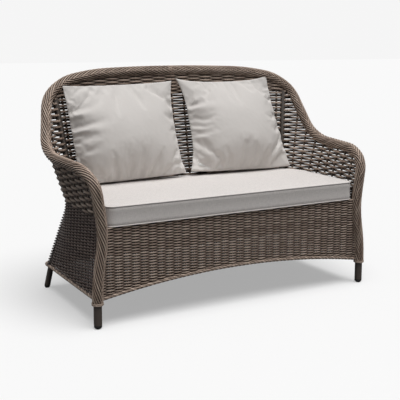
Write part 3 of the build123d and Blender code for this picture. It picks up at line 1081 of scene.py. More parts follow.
class Weaver:
    """Runs the strand tree on carriers and turns the result into plain meshes."""

    def __init__(self) -> None:
        """Build the tree once."""
        self.tree = StrandTree().tree

    def strands(self, name: str, carrier: Carrier, lays: Sequence[Lay], finish: Finish) -> bpy.types.Object:
        """Lay families of strands on one carrier.

        Args:
            name: The piece's name.
            carrier: The surface.
            lays: The families.
            finish: Their finish.

        Returns:
            The piece, a plain mesh.
        """
        parts = []
        base = new_object(f"{name}_carrier", carrier.mesh(f"{name}_carrier"))
        for lay in lays:
            modifier = base.modifiers.new("Strands", "NODES")
            modifier.node_group = self.tree
            self.set_inputs(modifier, lay, finish)
            depsgraph = bpy.context.evaluated_depsgraph_get()
            mesh = bpy.data.meshes.new_from_object(base.evaluated_get(depsgraph), depsgraph=depsgraph)
            base.modifiers.remove(modifier)
            for spare in StrandTree.SPARE:
                if spare in mesh.attributes:
                    mesh.attributes.remove(mesh.attributes[spare])
            mesh.shade_smooth()
            parts.append(new_object(f"{name}_part", mesh))
        drop(base)
        return joined(name, parts)

    def set_inputs(self, modifier: bpy.types.Modifier, lay: Lay, finish: Finish) -> None:
        """Set the modifier's inputs by their identifiers.

        Args:
            modifier: The Geometry Nodes modifier.
            lay: The family's sizes.
            finish: The strands' finish.
        """
        values = {
            "Start": (*lay.start, 0.0),
            "Run": (*lay.run, 0.0),
            "Step": (*lay.step, 0.0),
            "Material": finish.material(),
        }
        for name in StrandTree.INPUTS:
            if name not in values:
                values[name] = getattr(lay, name.lower().replace(" ", "_"))
        for item in modifier.node_group.interface.items_tree:
            if item.item_type == "SOCKET" and item.in_out == "INPUT" and item.name in values:
                modifier[item.identifier] = values[item.name]


# Sub-assemblies


@dataclass
class TubeFrame:
    """The bent tubes: arms, back rim, rear legs, seat hoop and bottom rails."""

    weaver: Weaver
    arm_radius: float = 0.015
    rear_radius: float = 0.012
    hoop_radius: float = 0.010
    rail_radius: float = 0.006
    arm_level: float = 0.05
    leg_level: float = 0.3
    joint_gap: float = 0.01
    point_pitch: float = 0.012
    sides: int = 28
    leg_line: list[Vector] = field(init=False)

    PLAIN = (
        "seat_front_rail",
        "seat_cross_bars",
        "leg_lug_left",
        "leg_lug_right",
        "side_bottom_rail_left",
        "side_bottom_rail_right",
        "rear_bottom_rail",
    )

    def build(self) -> None:
        """Make every tube smooth and dress the rails that stay."""
        low, high = box_of("front_foot_glide_right")
        middle = (low + high) / 2
        arm = CentreLine("arm_tube_right", Vector((middle.x, middle.y, self.arm_level)), UP).points()
        self.pair("arm_tube", arm, self.arm_radius)
        along = (arm[-1] - arm[-4]).normalized()
        back = CentreLine("back_rim_tube", arm[-1] + along * self.joint_gap, along).points()
        self.tube("back_rim_tube", back, self.arm_radius)
        self.leg_line = CentreLine("rear_leg_right", self.leg_inside(*box_of("rear_leg_right")), UP).points()
        self.pair("rear_leg", self.leg_line, self.rear_radius)
        low, high = box_of("seat_hoop")
        beside = Vector((high.x - self.hoop_radius, 0.0, (low.z + high.z) / 2))
        self.tube("seat_hoop", CentreLine("seat_hoop", beside, BACKWARDS).points(), self.hoop_radius)
        low, high = box_of("front_arch_rail")
        crown = Vector((0.0, (low.y + high.y) / 2, high.z - self.rail_radius))
        arch = CentreLine("front_arch_rail", crown, SIDEWAYS).points()
        self.tube("front_arch_rail", arch, self.rail_radius)
        for name in self.PLAIN:
            dress_node(name, PAINT)
        for side in Side:
            dress_node(f"arm_joint_spigot_{side.word}", ALUMINIUM)
            dress_node(f"front_foot_glide_{side.word}", PLASTIC)
            dress_node(f"rear_foot_glide_{side.word}", PLASTIC)

    def leg_inside(self, low: Vector, high: Vector) -> Vector:
        """A point inside the rear leg at mid height, where a ray finds the tube's bore widest.

        Args:
            low: The leg's lowest corner.
            high: Its highest corner.

        Returns:
            The point.
        """
        wall = surface("rear_leg_right")
        tries = 200
        walls_passed = 4
        widest = 0.0
        inside = (low + high) / 2
        for step in range(tries):
            x = low.x + (high.x - low.x) * step / (tries - 1)
            origin = Vector((x, low.y - 0.1, self.leg_level))
            hits = []
            while len(hits) <= walls_passed:
                hit = wall.ray_cast(origin, BACKWARDS, 1.0)[0]
                if hit is None:
                    break
                hits.append(hit)
                origin = hit + Vector((0, 1e-5, 0))
            if len(hits) == walls_passed and hits[2].y - hits[1].y > widest:
                widest = hits[2].y - hits[1].y
                inside = (hits[1] + hits[2]) / 2
        return inside

    def pair(self, name: str, line: list[Vector], radius: float) -> None:
        """A tube and its mirror image."""
        self.tube(f"{name}_right", line, radius)
        self.tube(f"{name}_left", mirrored(line), radius)

    def tube(self, node: str, line: Sequence[Vector], radius: float) -> None:
        """A smooth tube in place of a CAD node.

        Args:
            node: The node.
            line: Its centre line.
            radius: Its radius.
        """
        length = lengths(line)[-1]
        carrier = tube_carrier(line, CORE, upright((line[1] - line[0]).normalized())[0], 6)
        points = max(int(length / self.point_pitch), 8)
        lay = Lay(1, points, (0.0, 0.0), (0.0, length), (0.0, 0.0), radius, sides=self.sides)
        piece = self.weaver.strands(f"{node}_tube", carrier, [lay], PAINT)
        finish_piece(piece, Body.FRAME, PAINT, node)


@dataclass
class RimPlait:
    """The plaited sleeve round the whole rim, and the wound collars that end it."""

    weaver: Weaver
    sleeve: float = 0.0176
    strand: float = 0.0029
    spacing: float = 0.021
    advance: float = 0.14
    overlap: float = 0.02
    sweep: float = 0.5
    tuck: float = 0.045
    seam_gap: float = 0.02
    end_drop: float = 0.0035
    wander: float = 0.0012
    leaf_points: int = 22
    leaf_reach: float = 1.05
    start_gap: float = 0.004
    ridge: tuple[float, float, float] = (-0.6, -0.8, 0.0)
    collar_turns: int = 3
    collar_fill: float = 0.9
    collar_lap: float = 1.02

    def build(self) -> None:
        """Plait both halves of the rim and wind the collars."""
        low, high = box_of("leg_collar_right")
        foot = Vector(((low.x + high.x) / 2, (low.y + high.y) / 2, high.z + self.start_gap))
        rim = CentreLine("rim_braid", foot, UP)
        line = rim.points()
        middle = min(range(len(line)), key=lambda index: abs(line[index].x))
        first = line[0] - (line[4] - line[0]).normalized() * rim.step
        right = [first] + line[: middle + 1 + int(self.overlap / rim.step)]
        parts = []
        for side in Side:
            half = right if side is Side.RIGHT else mirrored(right)
            ridge = Vector((self.ridge[0] * side.value, self.ridge[1], self.ridge[2]))
            parts.append(self.half(f"rim_plait_{side.word}", half, ridge, side))
        finish_piece(joined("rim_plait", parts), Body.FRAME, WICKER, "rim_braid")
        self.collars(low, high)

    def half(self, name: str, line: list[Vector], ridge: Vector, side: Side) -> bpy.types.Object:
        """One half's leaves, mirrored about the ridge.

        Args:
            name: The piece's name.
            line: The half's centre line, from the foot up.
            ridge: Where the ridge is at the foot.
            side: Which side of the sofa it is.

        Returns:
            The plait.
        """
        carrier = tube_carrier(line, self.sleeve, ridge, 32)
        count = int((lengths(line)[-1] + self.advance) / self.spacing)
        lays = [
            Lay(
                count,
                self.leaf_points,
                (-flank * self.tuck, -self.advance + (self.spacing / 2 if flank > 0 else 0)),
                (flank * (self.sweep + self.tuck - self.seam_gap), self.advance * self.leaf_reach),
                (0.0, self.spacing),
                self.strand,
                drop=self.end_drop,
                wander=self.wander,
                seed=11 + flank + side.value,
            )
            for flank in (1, -1)
        ]
        return self.weaver.strands(name, carrier, lays, WICKER)

    def collars(self, low: Vector, high: Vector) -> None:
        """Wind the collar under each end of the plait.

        Args:
            low: The right collar's lowest corner.
            high: Its highest corner.
        """
        radius = (high.z - low.z) / (2 * (self.collar_turns - 0.5)) * self.collar_fill
        reach = (high.x - low.x) / 2 - radius
        pitch = (high.z - low.z - 2 * radius) / (self.collar_turns - 1)
        for side in Side:
            middle = Vector(((low.x + high.x) / 2 * side.value, (low.y + high.y) / 2, 0))
            line = [middle + Vector((0, 0, low.z + (high.z - low.z) * step / 6)) for step in range(7)]
            carrier = tube_carrier(line, reach, SIDEWAYS, 32, centred=False)
            run = (self.collar_lap, 0.0)
            lay = Lay(self.collar_turns, 40, (0.0, radius), run, (0.0, pitch), radius, wrap=1.0, seed=3)
            piece = self.weaver.strands(f"leg_collar_{side.word}_winding", carrier, [lay], WICKER)
            finish_piece(piece, Body.FRAME, WICKER, f"leg_collar_{side.word}")


@dataclass(frozen=True)
class Band:
    """The pitches of one band of wall: rows, stakes, and how the rows pass a rear leg."""

    row: float
    strand: float
    wave: float
    stake_pitch: float
    wander: float
    rib_wave: float
    rib_push: float
    # How much painted shade the rows get where they pass behind a stake.
    hide: float = 0.0
    stake: float = 0.0026
    dense_from: float = 10.0
    dense_rate: float = 1.0

    def level(self, height: float) -> float:
        """The flat coordinate of a height: rows lie closer together above dense_from."""
        return height + max(height - self.dense_from, 0.0) * (self.dense_rate - 1)


# Each band's hide is painted shade on the rows behind the stakes.
SKIRT_BAND = Band(
    row=0.0055,
    strand=0.0031,
    wave=0.0036,
    stake_pitch=0.034,
    wander=0.0012,
    rib_wave=0.003,
    rib_push=0.004,
    hide=0.6,
)
UPPER_BAND = Band(
    row=0.0113,
    strand=0.0055,
    wave=0.0042,
    stake_pitch=0.056,
    wander=0.002,
    rib_wave=0.007,
    rib_push=0.0,
    hide=0.85,
    stake=0.0046,
    dense_from=0.79,
    dense_rate=1.6,
)


@dataclass
class WovenWalls:
    """The front panel, the skirt, the flared upper weave and the twisted borders."""

    weaver: Weaver
    leg_line: list[Vector]
    stake_pitch: float = 0.034
    stake_radius: float = 0.0026
    stake_points: int = 60
    # Painted shade all over the stakes, which sit deep between the rows.
    stake_shade: float = 0.75
    row_points: int = 8
    row_start: float = 0.003
    apron_points: int = 6
    apron_row: float = 0.00515
    apron_strand: float = 0.00335
    apron_wave: float = 0.0038
    apron_wander: float = 0.0008
    apron_fullness: float = 0.05
    corner_radius: float = 0.2
    edge: float = 0.002
    border_entry: float = 0.008
    rim_entry: float = 0.014
    rib_width: float = 0.45
    border_radius: float = 0.0075
    border_strands: int = 4
    border_pitch: float = 0.07
    border_fill: float = 0.54
    border_step: float = 0.006
    corner: Vector = field(init=False)

    def build(self) -> None:
        """Weave every wall."""
        self.corner = self.corner_centre()
        self.apron()
        self.walls()
        self.borders()
        dress_node("seat_deck", DECK)

    def corner_centre(self) -> Vector:
        """Find the centre of the walls' corner bend at the waist.

        Returns:
            The centre, at ground level.
        """
        skirt = surface("side_skirt_right", "rear_skirt")
        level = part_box("side_skirt_right")[1][2] - 0.004
        side = self.mid_wall(skirt, Vector((0.3, -0.1, level)), SIDEWAYS)
        back = self.mid_wall(skirt, Vector((0.0, 0.0, level)), BACKWARDS)
        return Vector((side.x - self.corner_radius, back.y - self.corner_radius, 0))

    @staticmethod
    def mid_wall(wall: BVHTree, origin: Vector, direction: Vector) -> Vector | None:
        """The middle of a wall's thickness along a ray.

        Args:
            wall: The wall's surface.
            origin: A point inside the sofa.
            direction: The level direction outwards.

        Returns:
            The middle, or nothing where the ray misses.
        """
        inner = wall.ray_cast(origin, direction, 1.5)[0]
        if inner is None:
            return None
        outer = wall.ray_cast(inner + direction * 1e-4, direction, 0.05)[0]
        return (inner + outer) / 2 if outer is not None else None

    def apron(self) -> None:
        """Weave the front panel in two halves, so that every row under the arch is one run."""
        low, high = box_of("front_apron")
        border_low, border_high = box_of("front_border")
        y = (low.y + high.y) / 2
        reach = high.x + 0.004
        stakes = round(reach / self.stake_pitch)
        pitch = reach / stakes
        arch = border_high.z - border_low.z - 2 * self.border_radius
        levels = 30
        width = 60
        rows = []
        for j in range(levels + 1):
            row = []
            for i in range(width + 1):
                x = -reach + 2 * reach * i / width
                bottom = border_low.z + self.border_radius + max(arch * (1 - (x / border_high.x) ** 2), 0.0)
                z = bottom + (high.z - 0.001 - bottom) * j / levels
                row.append((Vector((x, y, z)), -BACKWARDS, (x / pitch, z)))
            rows.append(row)
        count = int((high.z - border_low.z) / self.apron_row)
        lays = [
            Lay(
                count,
                stakes * self.apron_points + 1,
                (0.0, border_low.z + 0.004),
                (float(side.value * stakes), 0.0),
                (0.0, self.apron_row),
                self.apron_strand,
                wave=self.apron_wave,
                # Full painted shade where the rows pass behind the stakes.
                hide=1.0,
                wander=self.apron_wander,
                fullness=self.apron_fullness,
                seed=21,
            )
            for side in Side
        ]
        lays.append(self.stakes(-stakes, stakes, border_low.z, high.z, self.stake_radius))
        piece = self.weaver.strands("front_apron_weave", Carrier(rows), lays, WICKER)
        finish_piece(piece, Body.FRAME, WICKER, "front_apron")

    def stakes(self, first: int, last: int, low: float, high: float, radius: float) -> Lay:
        """The upright stakes of a wall, one at each whole flat coordinate.

        Args:
            first: The first stake's coordinate.
            last: The last stake's coordinate.
            low: The level they start at.
            high: The level they end at.
            radius: Their radius.

        Returns:
            The stakes.
        """
        return Lay(
            last - first + 1,
            self.stake_points,
            (float(first), low),
            (0.0, high - low),
            (1.0, 0.0),
            radius,
            # The stakes are painted darker all over, as painted shade.
            dim=self.stake_shade,
            seed=5,
        )

    def rows(self, band: Band, first: int, stakes: int, rib: int, low: float, high: float, side: Side) -> Lay:
        """The rows that pass over and under the stakes of a stretch of wall.

        Args:
            band: The band's pitches.
            first: The coordinate that the rows start at.
            stakes: How many stakes they pass.
            rib: The coordinate of the rear leg.
            low: The level of the lowest row.
            high: The level that the rows fill up to.
            side: Which side of the sofa.

        Returns:
            The rows.
        """
        return Lay(
            int((high - low) / band.row) + 1,
            stakes * self.row_points + 1,
            (float(first), low + self.row_start),
            (float(stakes), 0.0),
            (0.0, band.row),
            band.strand,
            wave=band.wave,
            hide=band.hide,
            wander=band.wander,
            rib_place=float(rib),
            rib_wave=band.rib_wave,
            rib_push=band.rib_push,
            rib_width=self.rib_width,
            seed=31 + side.value,
        )

    def stations(self, node: str) -> list[tuple[Vector, Vector]]:
        """Where the right half of a wall is measured, from the front post to the middle of the back.

        Args:
            node: The CAD node that starts at the post.

        Returns:
            Origins inside the wall, and level directions outwards.
        """
        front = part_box(node)[0][1] + 0.0005
        run = self.corner.y - front
        side_steps, bend_steps, back_steps = 33, 32, 30
        found = []
        for step in range(side_steps):
            found.append((Vector((self.corner.x, front + run * step / side_steps, 0)), SIDEWAYS))
        for step in range(bend_steps + 1):
            angle = math.pi / 2 * step / bend_steps
            found.append((self.corner.copy(), Vector((math.cos(angle), math.sin(angle), 0))))
        for step in range(1, back_steps + 1):
            found.append((Vector((self.corner.x * (1 - step / back_steps), self.corner.y, 0)), BACKWARDS))
        return found

    def leans(
        self, node: str, wall: BVHTree, bottom: float, top: float
    ) -> list[tuple[Vector, Vector, Vector, Vector]]:
        """Where a wall stands, and how it leans.

        Args:
            node: The CAD node that starts at the front post.
            wall: The wall's surface.
            bottom: The lower level of the measure.
            top: The upper level.

        Returns:
            For each station: the wall's middle at both levels, its run for each metre of height, and the
            level direction outwards.
        """
        found = []
        for origin, direction in self.stations(node):
            near = self.mid_wall(wall, origin + UP * bottom, direction)
            far = self.mid_wall(wall, origin + UP * top, direction)
            if near is not None and far is not None:
                found.append((near, far, (far - near) / (far.z - near.z), direction))
        return found

    def walls(self) -> None:
        """Weave the skirt and the upper walls on both sides."""
        low, high = box_of("side_skirt_right")
        waist = high.z
        skirt = surface("side_skirt_right", "rear_skirt")
        upper = surface("arm_weave_right", "back_weave")
        rim = surface("rim_braid")
        leans = self.leans("side_skirt_right", skirt, low.z + 2 * self.edge, waist - self.edge)
        skirt_wall = [
            (near - slope * self.border_entry, far + slope * self.edge, direction)
            for near, far, slope, direction in leans
        ]
        upper_wall = []
        rise = 0.05
        leans = self.leans("arm_weave_right", upper, waist + self.edge, waist + rise)
        for near, _, slope, direction in leans:
            rising = slope.normalized()
            hit = rim.ray_cast(near, rising, 1.0)[0]
            top = hit + rising * self.rim_entry if hit is not None else near + slope * rise
            upper_wall.append((near - slope * self.edge, top, direction))
        # The skirt is woven in the darker copy of the strand finish, which is painted shade.
        self.weave_wall("skirt", skirt_wall, ("side_skirt", "rear_skirt"), PAINTED_SHADE_WICKER, SKIRT_BAND)
        self.weave_wall("upper", upper_wall, ("arm_weave", "back_weave"), WICKER, UPPER_BAND)

    def leg_place(self, wall: list[Station], marks: list[float]) -> float:
        """How far along the wall the rear leg stands, taken at the waist.

        Args:
            wall: The wall's stations.
            marks: Their distances along the wall.

        Returns:
            The distance.
        """
        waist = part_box("side_skirt_right")[1][2]
        leg = min(self.leg_line, key=lambda point: abs(point.z - waist))

        def gap(index: int) -> float:
            """How far a station is from the leg at the waist."""
            ends = wall[index][:2]
            return (min(ends, key=lambda point: abs(point.z - waist)).xy - leg.xy).length

        return marks[min(range(len(wall)), key=gap)]

    def weave_wall(
        self, name: str, wall: list[Station], nodes: tuple[str, str], finish: Finish, band: Band
    ) -> None:
        """Weave one band of wall: two side pieces and the back between the rear legs.

        Args:
            name: What the band is called.
            wall: Bottom point, top point and outward direction of each station of the right half.
            nodes: The CAD nodes of the side pieces and of the back.
            finish: The strands' finish.
            band: The band's pitches.
        """
        marks = lengths([bottom.lerp(top, 0.5) for bottom, top, _ in wall])
        leg = self.leg_place(wall, marks)
        side_stakes = max(round(leg / band.stake_pitch), 1)
        back_stakes = max(round((marks[-1] - leg) / band.stake_pitch), 1)
        flat = [
            mark / leg * side_stakes
            if mark <= leg
            else side_stakes + (mark - leg) / (marks[-1] - leg) * back_stakes
            for mark in marks
        ]
        low = min(bottom.z for bottom, _, _ in wall)
        high = band.level(max(top.z for _, top, _ in wall))
        for side in Side:
            lays = [
                self.rows(band, 0, side_stakes, side_stakes, low, high, side),
                self.stakes(0, side_stakes - 1, low, high, band.stake),
            ]
            cells = self.grid(wall, flat, side, band)
            piece = self.weaver.strands(f"{nodes[0]}_{side.word}_weave", cells, lays, finish)
            finish_piece(piece, Body.FRAME, finish, f"{nodes[0]}_{side.word}")
        parts = []
        for side in Side:
            last = side_stakes + back_stakes - (0 if side is Side.RIGHT else 1)
            lays = [
                self.rows(band, side_stakes, back_stakes, side_stakes, low, high, side),
                self.stakes(side_stakes + 1, last, low, high, band.stake),
            ]
            cells = self.grid(wall, flat, side, band)
            parts.append(self.weaver.strands(f"{name}_{side.word}", cells, lays, finish))
        finish_piece(joined(f"{nodes[1]}_weave", parts), Body.FRAME, finish, nodes[1])

    @staticmethod
    def grid(wall: list[Station], flat: list[float], side: Side, band: Band) -> Carrier:
        """A carrier over one half of a wall.

        Args:
            wall: The stations.
            flat: Their stake coordinates.
            side: Which side of the sofa.
            band: The band's pitches.

        Returns:
            The carrier.
        """
        levels = 32
        rows = []
        for j in range(levels + 1):
            row = []
            for (bottom, top, direction), u in zip(wall, flat):
                point = bottom.lerp(top, j / levels)
                out = Vector((direction.x * side.value, direction.y, 0))
                row.append((Vector((point.x * side.value, point.y, point.z)), out, (u, band.level(point.z))))
            rows.append(row)
        return Carrier(rows)

    def borders(self) -> None:
        """Twist the two borders."""
        low, high = box_of("front_border")
        crown = Vector((0, (low.y + high.y) / 2, high.z - self.border_radius))
        arch = CentreLine("front_border", crown, SIDEWAYS, step=0.005, reach=0.02)
        self.rope(arch)
        low, high = box_of("skirt_border")
        beside = Vector((high.x - self.border_radius, 0.0, (low.z + high.z) / 2))
        ring = CentreLine("skirt_border", beside, BACKWARDS, step=0.004, reach=0.03, smoothing=1)
        self.rope(ring)

    def rope(self, core: CentreLine) -> None:
        """A twisted border in place of a CAD node.

        Args:
            core: The node's centre line.
        """
        line = core.points()
        total = lengths(line)[-1]
        strand = self.border_radius * self.border_fill
        carrier = tube_carrier(line, self.border_radius - strand, UP, 24, centred=False)
        lay = Lay(
            self.border_strands,
            int(total / self.border_step),
            (0.0, 0.0005),
            (total / self.border_pitch, total - 0.001),
            (1 / self.border_strands, 0.0),
            strand,
            wrap=1.0,
            sides=8,
            seed=41,
        )
        piece = self.weaver.strands(f"{core.node}_twist", carrier, [lay], WICKER)
        finish_piece(piece, Body.FRAME, WICKER, core.node)


def relaxed(
    piece: bpy.types.Object, pressure: float, frames: int, stiffness: float, bending: float, fullness: float
) -> None:
    """Swell a closed cloth form with air pressure and keep the result.

    Args:
        piece: The form.
        pressure: The pressure inside.
        frames: How many frames the cloth runs.
        stiffness: How hard the cloth is to stretch.
        bending: How hard it is to fold.
        fullness: How much larger the cloth is cut than the form.
    """
    cloth = piece.modifiers.new("Cloth", "CLOTH")
    settings = cloth.settings
    settings.quality = 6
    settings.mass = 0.3
    settings.use_pressure = True
    settings.uniform_pressure_force = pressure
    settings.tension_stiffness = stiffness
    settings.compression_stiffness = stiffness
    settings.shear_stiffness = stiffness / 3
    settings.bending_stiffness = bending
    settings.shrink_min = -fullness
    settings.effector_weights.gravity = 0
    settings.air_damping = 3
    if piece.vertex_groups.get("held"):
        settings.vertex_group_mass = "held"
    cloth.collision_settings.use_collision = False
    cloth.point_cache.frame_start = 1
    cloth.point_cache.frame_end = frames
    scene = bpy.context.scene
    for frame in range(1, frames + 1):
        scene.frame_set(frame)
    depsgraph = bpy.context.evaluated_depsgraph_get()
    swollen = bpy.data.meshes.new_from_object(piece.evaluated_get(depsgraph), depsgraph=depsgraph)
    piece.modifiers.remove(cloth)
    for vertex, moved in zip(piece.data.vertices, swollen.vertices):
        vertex.co = moved.co
    bpy.data.meshes.remove(swollen)
    scene.frame_set(1)


def subdivided(piece: bpy.types.Object) -> None:
    """Apply one level of subdivision surface.

    Args:
        piece: The piece, whose mesh is replaced.
    """
    modifier = piece.modifiers.new("Round", "SUBSURF")
    modifier.levels = 1
    modifier.render_levels = 1
    depsgraph = bpy.context.evaluated_depsgraph_get()
    mesh = bpy.data.meshes.new_from_object(piece.evaluated_get(depsgraph), depsgraph=depsgraph)
    piece.modifiers.remove(modifier)
    old = piece.data
    piece.data = mesh
    bpy.data.meshes.remove(old)


@dataclass
class SeatCushion:
    """The boxed seat cushion: crowned top, flat boxing, piped edges and a zip at the rear."""

    weaver: Weaver
    front_corner: float = 0.035
    rear_corner: float = 0.15
    piping_radius: float = 0.002
    piping_cell: float = 0.01
    cell: float = 0.009
    crown: float = 0.009
    boxing_bow: float = 0.0021
    boxing_inset: float = 0.0008
    panel_rise: float = 0.0018
    panel_reach: float = 0.235
    bottom_shares: tuple[float, ...] = (0.99, 0.85, 0.7, 0.55, 0.4, 0.28, 0.18, 0.1, 0.05)
    top_insets: tuple[float, ...] = (
        *(0.012, 0.02, 0.03, 0.042, 0.056, 0.072, 0.09),
        *(0.11, 0.132, 0.156, 0.18, 0.205, 0.225, 0.234),
    )
    foam_share: tuple[float, float, float, float] = (0.985, 0.97, 0.92, 1)
    dents: int = 9
    low: Vector = field(init=False)
    high: Vector = field(init=False)
    seam_low: float = field(init=False)
    seam_high: float = field(init=False)
    seam_inset: float = field(init=False)

    def build(self) -> None:
        """Build the cover, its piping and its zip."""
        self.low, self.high = box_of("seat_cushion_cover")
        piping_low, piping_high = box_of("seat_cushion_piping")
        self.seam_low = piping_low.z + self.piping_radius
        self.seam_high = piping_high.z - self.piping_radius
        self.seam_inset = piping_low.x + self.piping_radius - self.low.x
        cover = self.cover()
        finish_piece(cover, Body.SEAT, SEAT_CLOTH, "seat_cushion_cover")
        self.piping()
        low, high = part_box("seat_cushion_zip")
        dress_node("seat_cushion_zip", ZipTape("zip tape", Slot.TAPE, 0.6, level=(low[2] + high[2]) / 2))
        foam = new_object("seat_cushion_core", cover.data.copy())
        middle = Matrix.Translation((self.low + self.high) / 2)
        foam.data.transform(middle @ Matrix.Diagonal(self.foam_share) @ middle.inverted())
        foam.data.materials.clear()
        finish_piece(foam, Body.SEAT, FOAM, "seat_cushion_foam")

    def outline(self, inset: float, spacing: float) -> list[Vector]:
        """The cushion's plan, drawn in by an inset, as evenly spread points.

        Args:
            inset: How far inside the widest outline.
            spacing: The distance between points.

        Returns:
            The points, anticlockwise from the middle of the front.
        """
        right = self.high.x - inset
        front = self.low.y + inset
        rear = self.high.y - inset
        smallest = 0.004
        front_radius = max(self.front_corner - inset, smallest)
        rear_radius = max(self.rear_corner - inset, smallest)
        bends = [
            (Vector((right - front_radius, front + front_radius, 0)), front_radius, -90),
            (Vector((right - rear_radius, rear - rear_radius, 0)), rear_radius, 0),
            (Vector((-right + rear_radius, rear - rear_radius, 0)), rear_radius, 90),
            (Vector((-right + front_radius, front + front_radius, 0)), front_radius, 180),
        ]
        corners = [Vector((0, front, 0))]
        steps = 16
        for centre, radius, first in bends:
            for step in range(steps + 1):
                angle = math.radians(first + 90 * step / steps)
                corners.append(centre + Vector((math.cos(angle), math.sin(angle), 0)) * radius)
        corners.append(corners[0].copy())
        marks = lengths(corners)
        count = int(round(marks[-1] / spacing))
        points = []
        index = 0
        for step in range(count):
            mark = marks[-1] * step / count
            while marks[index + 1] < mark:
                index += 1
            share = (mark - marks[index]) / (marks[index + 1] - marks[index])
            points.append(corners[index].lerp(corners[index + 1], share))
        return points

    def profile(self) -> list[tuple[float, float]]:
        """The cover's section, from the middle of the bottom panel round the boxing to the middle of the top.

        Returns:
            Levels, each with how far it lies inside the widest outline.
        """
        mid = (self.seam_low + self.seam_high) / 2
        half = (self.seam_high - self.seam_low) / 2
        bottom = self.low.z
        top = self.seam_high + self.panel_rise
        section = [(bottom, self.panel_reach * share) for share in self.bottom_shares]
        section.append((bottom + 0.0006, self.seam_inset + 0.004))
        section.append((self.seam_low - 0.0002, self.seam_inset + 0.001))
        for step in range(1, 8):
            share = step / 4 - 1
            section.append((mid + half * share, self.boxing_bow * (1 - share * share) + self.boxing_inset))
        section.append((self.seam_high + 0.0002, self.seam_inset + 0.001))
        section.append((top, self.seam_inset + 0.005))
        return section + [(top, inset) for inset in self.top_insets]

    def cover(self) -> bpy.types.Object:
        """The cover: boxing from rings, top and bottom panels from shrinking rings.

        Returns:
            The cover.
        """
        deepest = (self.high.y - self.low.y) / 2 - 0.004
        maker = bmesh.new()
        rings = [
            [maker.verts.new((point.x, point.y, level)) for point in self.squeezed(min(inset, deepest))]
            for level, inset in self.profile()
        ]
        count = len(rings[0])
        for below, above in zip(rings, rings[1:]):
            for index in range(count):
                after = (index + 1) % count
                maker.faces.new((below[index], below[after], above[after], above[index]))
        maker.faces.new(list(reversed(rings[0])))
        maker.faces.new(rings[-1])
        mesh = bpy.data.meshes.new("seat_cushion")
        bmesh.ops.triangulate(maker, faces=[face for face in maker.faces if len(face.verts) > 4])
        maker.to_mesh(mesh)
        maker.free()
        piece = new_object("seat_cushion_padding", mesh)
        self.swell(piece)
        subdivided(piece)
        self.mark_cloth(piece)
        piece.data.shade_smooth()
        piece.data.materials.append(SEAT_CLOTH.material())
        return piece

    def squeezed(self, inset: float) -> list[Vector]:
        """The plan at an inset, with as many points as the outline.

        Args:
            inset: How far inside the outline.

        Returns:
            The points.
        """
        centre_y = (self.low.y + self.high.y) / 2
        half_x = (self.high.x - self.low.x) / 2
        half_y = (self.high.y - self.low.y) / 2
        points = []
        for point in self.outline(0.0, self.cell):
            x = point.x * (half_x - inset) / half_x
            y = centre_y + (point.y - centre_y) * (half_y - inset) / half_y
            points.append(Vector((x, y, 0)))
        return points

    def swell(self, piece: bpy.types.Object) -> None:
        """Raise the crown with soft dents, as foam under a fitted cover stands.

        Args:
            piece: The cover before its subdivision.
        """
        chance = random.Random(7)
        ranges = ((4, 17), (4, 17), (0, TURN), (0.0003, 0.0008))
        waves = [[chance.uniform(least, most) for least, most in ranges] for _ in range(self.dents)]
        half_x = (self.high.x - self.low.x) / 2
        centre_y = (self.low.y + self.high.y) / 2
        half_y = (self.high.y - self.low.y) / 2
        for vertex in piece.data.vertices:
            point = vertex.co
            if point.z < self.seam_high:
                continue
            across = 1 - min(abs(point.x) / half_x, 1.0) ** 6
            deep = 1 - min(abs(point.y - centre_y) / half_y, 1.0) ** 3
            dent = sum(size * math.sin(point.x * a + point.y * b + turn) for a, b, turn, size in waves)
            vertex.co.z += (self.crown + dent) * across * deep

    def mark_cloth(self, piece: bpy.types.Object) -> None:
        """Store the cloth's own coordinates: the plan on the panels, the run and height on the boxing.

        Args:
            piece: The finished cover.
        """
        mesh = piece.data
        cloth = mesh.attributes.new("cloth", "FLOAT_VECTOR", "CORNER")
        for face in mesh.polygons:
            flat = abs(face.normal.z) > 0.7
            sideways = abs(face.normal.x) > abs(face.normal.y)
            for index in face.loop_indices:
                point = mesh.vertices[mesh.loops[index].vertex_index].co
                run = point.x if flat or not sideways else point.y
                cloth.data[index].vector = (run, point.y if flat else point.z, 0)

    def piping(self) -> None:
        """Sew round piping along both edges of the boxing."""
        parts = []
        for level in (self.seam_low, self.seam_high):
            plan = self.outline(self.seam_inset, self.piping_cell)
            line = [Vector((point.x, point.y, level)) for point in plan]
            line.append(line[0].copy())
            total = lengths(line)[-1]
            carrier = tube_carrier(line, CORE / 2, UP, 6)
            lay = Lay(1, len(line), (0.0, 0.0), (0.0, total), (0.0, 0.0), self.piping_radius, sides=10)
            parts.append(self.weaver.strands("piping", carrier, [lay], SEAT_CLOTH))
        piece = joined("seat_cushion_piped_edge", parts)
        mesh = piece.data
        cloth = mesh.attributes.new("cloth", "FLOAT_VECTOR", "POINT")
        for vertex in mesh.vertices:
            cloth.data[vertex.index].vector = (vertex.co.x + vertex.co.y, vertex.co.z, 0)
        finish_piece(piece, Body.SEAT, SEAT_CLOTH, "seat_cushion_piping")


@dataclass(frozen=True)
class Gather:
    """A fold that runs in from a seam: its start in the pillow's own plane, its angle, reach and depth."""

    x: float
    z: float
    angle: float
    reach: float
    depth: float


